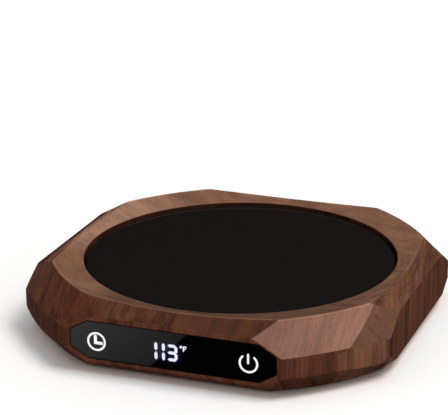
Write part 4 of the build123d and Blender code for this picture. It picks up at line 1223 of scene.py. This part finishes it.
class WARMER_OT_choke_winding(bpy.types.Operator):
    """Winds copper wire on the choke"""

    bl_idname = "warmer.choke_winding"
    bl_label = "Wind the choke"

    def execute(self, context):
        boards = context.scene.warmer_boards
        low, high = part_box("choke_coil")
        middle = (low + high) / 2
        foot = low.z + 0.8 * MM + boards.wire_radius
        material = brushed("enamelled_copper", (0.62, 0.24, 0.09), (3000.0, 3000.0, 3000.0), 0.25)
        values = {
            "Turns": float(boards.winding_turns),
            "Core Radius": (high.x - low.x) * 0.42,
            "Wire Radius": boards.wire_radius,
            "Height": (middle.z - foot) * 2,
            "Place": (middle.x, middle.y, foot),
            "Finish": material,
        }
        mesh = grown("winding", new_mesh("winding_base", []), winding_tree(), values)
        piece("choke_winding", mesh, "housing", material)
        return {"FINISHED"}


def joint_places():
    """Where pins come through the main board: (x, y) in metres."""
    places = []
    for name, count, pitch in (
        ("heater_connector", 2, 2.0),
        ("sensor_connector", 3, 2.0),
        ("display_connector", 6, 1.5),
        ("buzzer", 2, 5.0),
    ):
        low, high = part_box(name)
        for index in range(count):
            x = (low.x + high.x) / 2 + (index - (count - 1) / 2) * pitch * MM
            places.append((x, (low.y + high.y) / 2))
    low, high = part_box("switch_body")
    places += [((low.x + high.x) / 2, y) for y in (low.y + 2.0 * MM, high.y - 2.0 * MM)]
    return places


# Outline of a solder joint, in shares of its radius and of its height
JOINT_PROFILE = ((1.0, -0.1), (1.0, 0.06), (0.62, 0.30), (0.36, 0.62), (0.28, 0.95))


class WARMER_OT_solder_joints(bpy.types.Operator):
    """Adds the solder joints under the main board"""

    bl_idname = "warmer.solder_joints"
    bl_label = "Add the solder joints"

    def execute(self, context):
        boards = context.scene.warmer_boards
        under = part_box("main_board")[0].z
        shape = bmesh.new()
        rows = []
        for share, depth in JOINT_PROFILE:
            reach = boards.joint_radius * share
            level = -boards.joint_height * depth
            rows.append([shape.verts.new((reach * x, reach * y, level)) for x, y in circle(10)])
        skin(shape, rows)
        tip = shape.verts.new((0.0, 0.0, -boards.joint_height))
        last = rows[-1]
        for step, corner in enumerate(last):
            shape.faces.new((corner, last[(step + 1) % len(last)], tip))
        shape.faces.new(rows[0])
        points = [(x, y, under) for x, y in joint_places()]
        level_turns, even = [0.0] * len(points), [1.0] * len(points)
        material = brushed("solder", (0.70, 0.70, 0.69), (1400.0, 1400.0, 1400.0), 0.26, 0.02)
        mesh = copies("solder_beads", shape, points, level_turns, even, material)
        for face in mesh.polygons:
            face.use_smooth = True
        piece("solder_joints", mesh, "housing", material)
        return {"FINISHED"}


# ---------------------------------------------------------------- stage


def lamp(name, kind, towards, distance, **settings):
    """A lamp that shines on the middle of the body from a direction."""
    data = bpy.data.lights.new(name, kind)
    for key, value in settings.items():
        setattr(data, key, value)
    made = new_object(name, data)
    way = Vector(towards).normalized()
    made.location = Vector((0.0, 0.0, 0.01)) + way * distance
    made.rotation_euler = way.to_track_quat("Z", "Y").to_euler()


def card(name, points, faces, material):
    """A card of the stage that only reflections see."""
    mesh = new_mesh(name, points, faces)
    mesh.materials.append(material)
    made = new_object(name, mesh)
    made.visible_camera = False
    made.visible_diffuse = False
    made.visible_shadow = False
    made.visible_transmission = False


def floor_material(stage):
    """Matt floor paint with a painted warm bounce of light from the body beside it, that keeps the body's
    shadow soft.
    """
    t = new_finish("floor_paint")
    rays = t.node("ShaderNodeLightPath", {})
    seen = t.most(rays["Is Camera Ray"], rays["Is Glossy Ray"], rays["Is Transmission Ray"])
    # How far out a point lies, on squares with cut corners like the body's outline
    x, y, _ = t.split(t.place)
    out = t.most(abs(x), abs(y), (abs(x) + abs(y)) * 0.622)
    # Beside the body the floor takes a warmer tone, a painted bounce of light from the wood
    floor_and_bounce = t.mix(t.step(out, 0.0600, 0.0690), stage.beside, stage.floor)
    # Where it is seen, the floor gives a share of its tone as its own light: a little round the
    # body, which softens the shadow, and more far away
    soft = seen * t.step(out, 0.0596, 0.0616, 0.0, stage.soften)
    away = seen * t.step(t.vector("LENGTH", t.place), 0.09, 0.42, 0.0, 0.16)
    paint = t.step(t.noise(t.place, 3.0, 2.0), 0.3, 0.7, 0.992, 1.0) * (1.0 - soft)
    return t.done(
        {
            "Base Color": t.scale(floor_and_bounce, paint),
            "Roughness": 0.9,
            "Specular IOR Level": 0.0,
            "Emission Color": floor_and_bounce,
            "Emission Strength": soft + away,
        }
    )


def black_cloth(name):
    """Cloth that gives nothing back."""
    t = new_finish(name)
    t.done({"Base Color": (0.0, 0.0, 0.0), "Roughness": 1.0, "Specular IOR Level": 0.0})
    return t


FLOOR_REACH = 6.0
# The cards on the floor in front of the panel, in metres: where they start and end in front of
# the body, their height, and the X of their edges
CARD_NEAR, CARD_FAR, CARD_HEIGHT = -0.068, -0.140, 0.0003
FLAG_RIGHT, FLAG_LEFT_NEAR, FLAG_LEFT_FAR = 0.120, -0.0122, -0.0080
SCRIM_LEFT = -0.060
SURROUND_RADIUS, SURROUND_FOOT, SURROUND_TOP = 0.9, 0.06, 0.95


def set_cards():
    """What the panel and the plate reflect: a flag, a scrim and a dark surround."""
    flag = black_cloth("flag_cloth").material
    scrim = black_cloth("scrim_cloth")
    x, _, _ = scrim.split(scrim.place)
    scrim.done({"Alpha": scrim.step(x, -0.050, -0.010, 0.0, 0.62, "LINEAR")})
    for name, sides, material in (
        ("panel_flag", (FLAG_LEFT_NEAR, FLAG_RIGHT, FLAG_RIGHT, FLAG_LEFT_FAR), flag),
        ("panel_scrim", (SCRIM_LEFT, FLAG_LEFT_NEAR, FLAG_LEFT_FAR, SCRIM_LEFT), scrim.material),
    ):
        depths = (CARD_NEAR, CARD_NEAR, CARD_FAR, CARD_FAR)
        card(name, [(x, y, CARD_HEIGHT) for x, y in zip(sides, depths)], [(0, 1, 2, 3)], material)
    round_it = circle(48)
    points = [
        (SURROUND_RADIUS * x, SURROUND_RADIUS * y, height)
        for x, y in round_it
        for height in (SURROUND_FOOT, SURROUND_TOP)
    ]
    starts = [(2 * step, 2 * ((step + 1) % len(round_it))) for step in range(len(round_it))]
    card("dark_surround", points, [(a, b, b + 1, a + 1) for a, b in starts], flag)


# The camera looks at the middle of the well's rim from the first two angles and the distance,
# and is then turned by the aim's angles
RIM = Vector((0.0, 0.0, 0.0218))
CAMERA_AZIMUTH, CAMERA_ELEVATION, CAMERA_DISTANCE = 0.34957, 0.36102, 0.66726
AIM_AZIMUTH, AIM_ELEVATION, AIM_ROLL = 0.00903, -0.02413, -0.00684


def set_camera(scene):
    data = bpy.data.cameras.new("camera")
    data.lens = 154.21
    data.sensor_width = 36.0
    camera = new_object("camera", data)
    ground = math.cos(CAMERA_ELEVATION)
    away = (math.sin(CAMERA_AZIMUTH) * ground, -math.cos(CAMERA_AZIMUTH) * ground, math.sin(CAMERA_ELEVATION))
    camera.location = RIM + Vector(away) * CAMERA_DISTANCE
    turn = (
        Matrix.Rotation(CAMERA_AZIMUTH + AIM_AZIMUTH, 3, "Z")
        @ Matrix.Rotation(math.pi / 2 - (CAMERA_ELEVATION + AIM_ELEVATION), 3, "X")
        @ Matrix.Rotation(AIM_ROLL, 3, "Z")
    )
    camera.rotation_euler = turn.to_euler()
    scene.camera = camera


class WARMER_OT_stage(bpy.types.Operator):
    """Sets the floor, the lamps, the sky and the camera"""

    bl_idname = "warmer.stage"
    bl_label = "Set the stage"

    def execute(self, context):
        scene = context.scene
        stage = scene.warmer_stage
        scene.view_settings.view_transform = "Standard"

        world = bpy.data.worlds.new("studio")
        world.use_nodes = True
        sky = world.node_tree.nodes["Background"].inputs
        sky["Color"].default_value = (1.0, 0.995, 0.985, 1.0)
        sky["Strength"].default_value = stage.sky
        scene.world = world

        corners = [(-1, -1), (1, -1), (1, 1), (-1, 1)]
        points = [(FLOOR_REACH * x, FLOOR_REACH * y, 0.0) for x, y in corners]
        mesh = new_mesh("floor", points, [(0, 1, 2, 3)])
        mesh.materials.append(floor_material(stage))
        new_object("floor", mesh)
        set_cards()

        lamp("key_lamp", "SUN", (0.38, 0.13, 0.916), 2.0, energy=stage.key, angle=math.radians(28))
        sheet = {"shape": "RECTANGLE", "size": 0.34, "size_y": 0.5}
        lamp("sheen_lamp", "AREA", (0.52, 0.04, 0.855), 1.0, energy=stage.sheen, **sheet)
        set_camera(scene)
        return {"FINISHED"}


# ---------------------------------------------------------------- panel and start

OPERATORS = (
    WARMER_OT_stage,
    WARMER_OT_body,
    WARMER_OT_plate,
    WARMER_OT_metal,
    WARMER_OT_flexing,
    WARMER_OT_base,
    WARMER_OT_electrics,
    WARMER_OT_front_panel,
    WARMER_OT_clock_symbol,
    WARMER_OT_power_symbol,
    WARMER_OT_temperature_digits,
    WARMER_OT_unit_mark,
    WARMER_OT_choke_winding,
    WARMER_OT_solder_joints,
)
SETTINGS = {
    "warmer_wood": WarmerWood,
    "warmer_display": WarmerDisplay,
    "warmer_boards": WarmerBoards,
    "warmer_stage": WarmerStage,
}


class WARMER_PT_sidebar(bpy.types.Panel):
    """Lists the settings and the steps of the mug warmer"""

    bl_idname = "WARMER_PT_sidebar"
    bl_label = "Mug Warmer"
    bl_space_type = "VIEW_3D"
    bl_region_type = "UI"
    bl_category = "Mug Warmer"

    def draw(self, context):
        for name, group in SETTINGS.items():
            box = self.layout.box()
            box.label(text=group.__doc__)
            for key in group.__annotations__:
                box.prop(getattr(context.scene, name), key)
        column = self.layout.column(align=True)
        for operator in OPERATORS:
            column.operator(operator.bl_idname)


CLASSES = (*SETTINGS.values(), *OPERATORS, WARMER_PT_sidebar)


def register():
    for made in CLASSES:
        bpy.utils.register_class(made)
    for name, group in SETTINGS.items():
        setattr(bpy.types.Scene, name, PointerProperty(type=group))


def unregister():
    for name in SETTINGS:
        delattr(bpy.types.Scene, name)
    for made in reversed(CLASSES):
        bpy.utils.unregister_class(made)


def main():
    register()
    for operator in OPERATORS:
        group, name = operator.bl_idname.split(".")
        getattr(getattr(bpy.ops, group), name)()


if __name__ == "__main__":
    main()
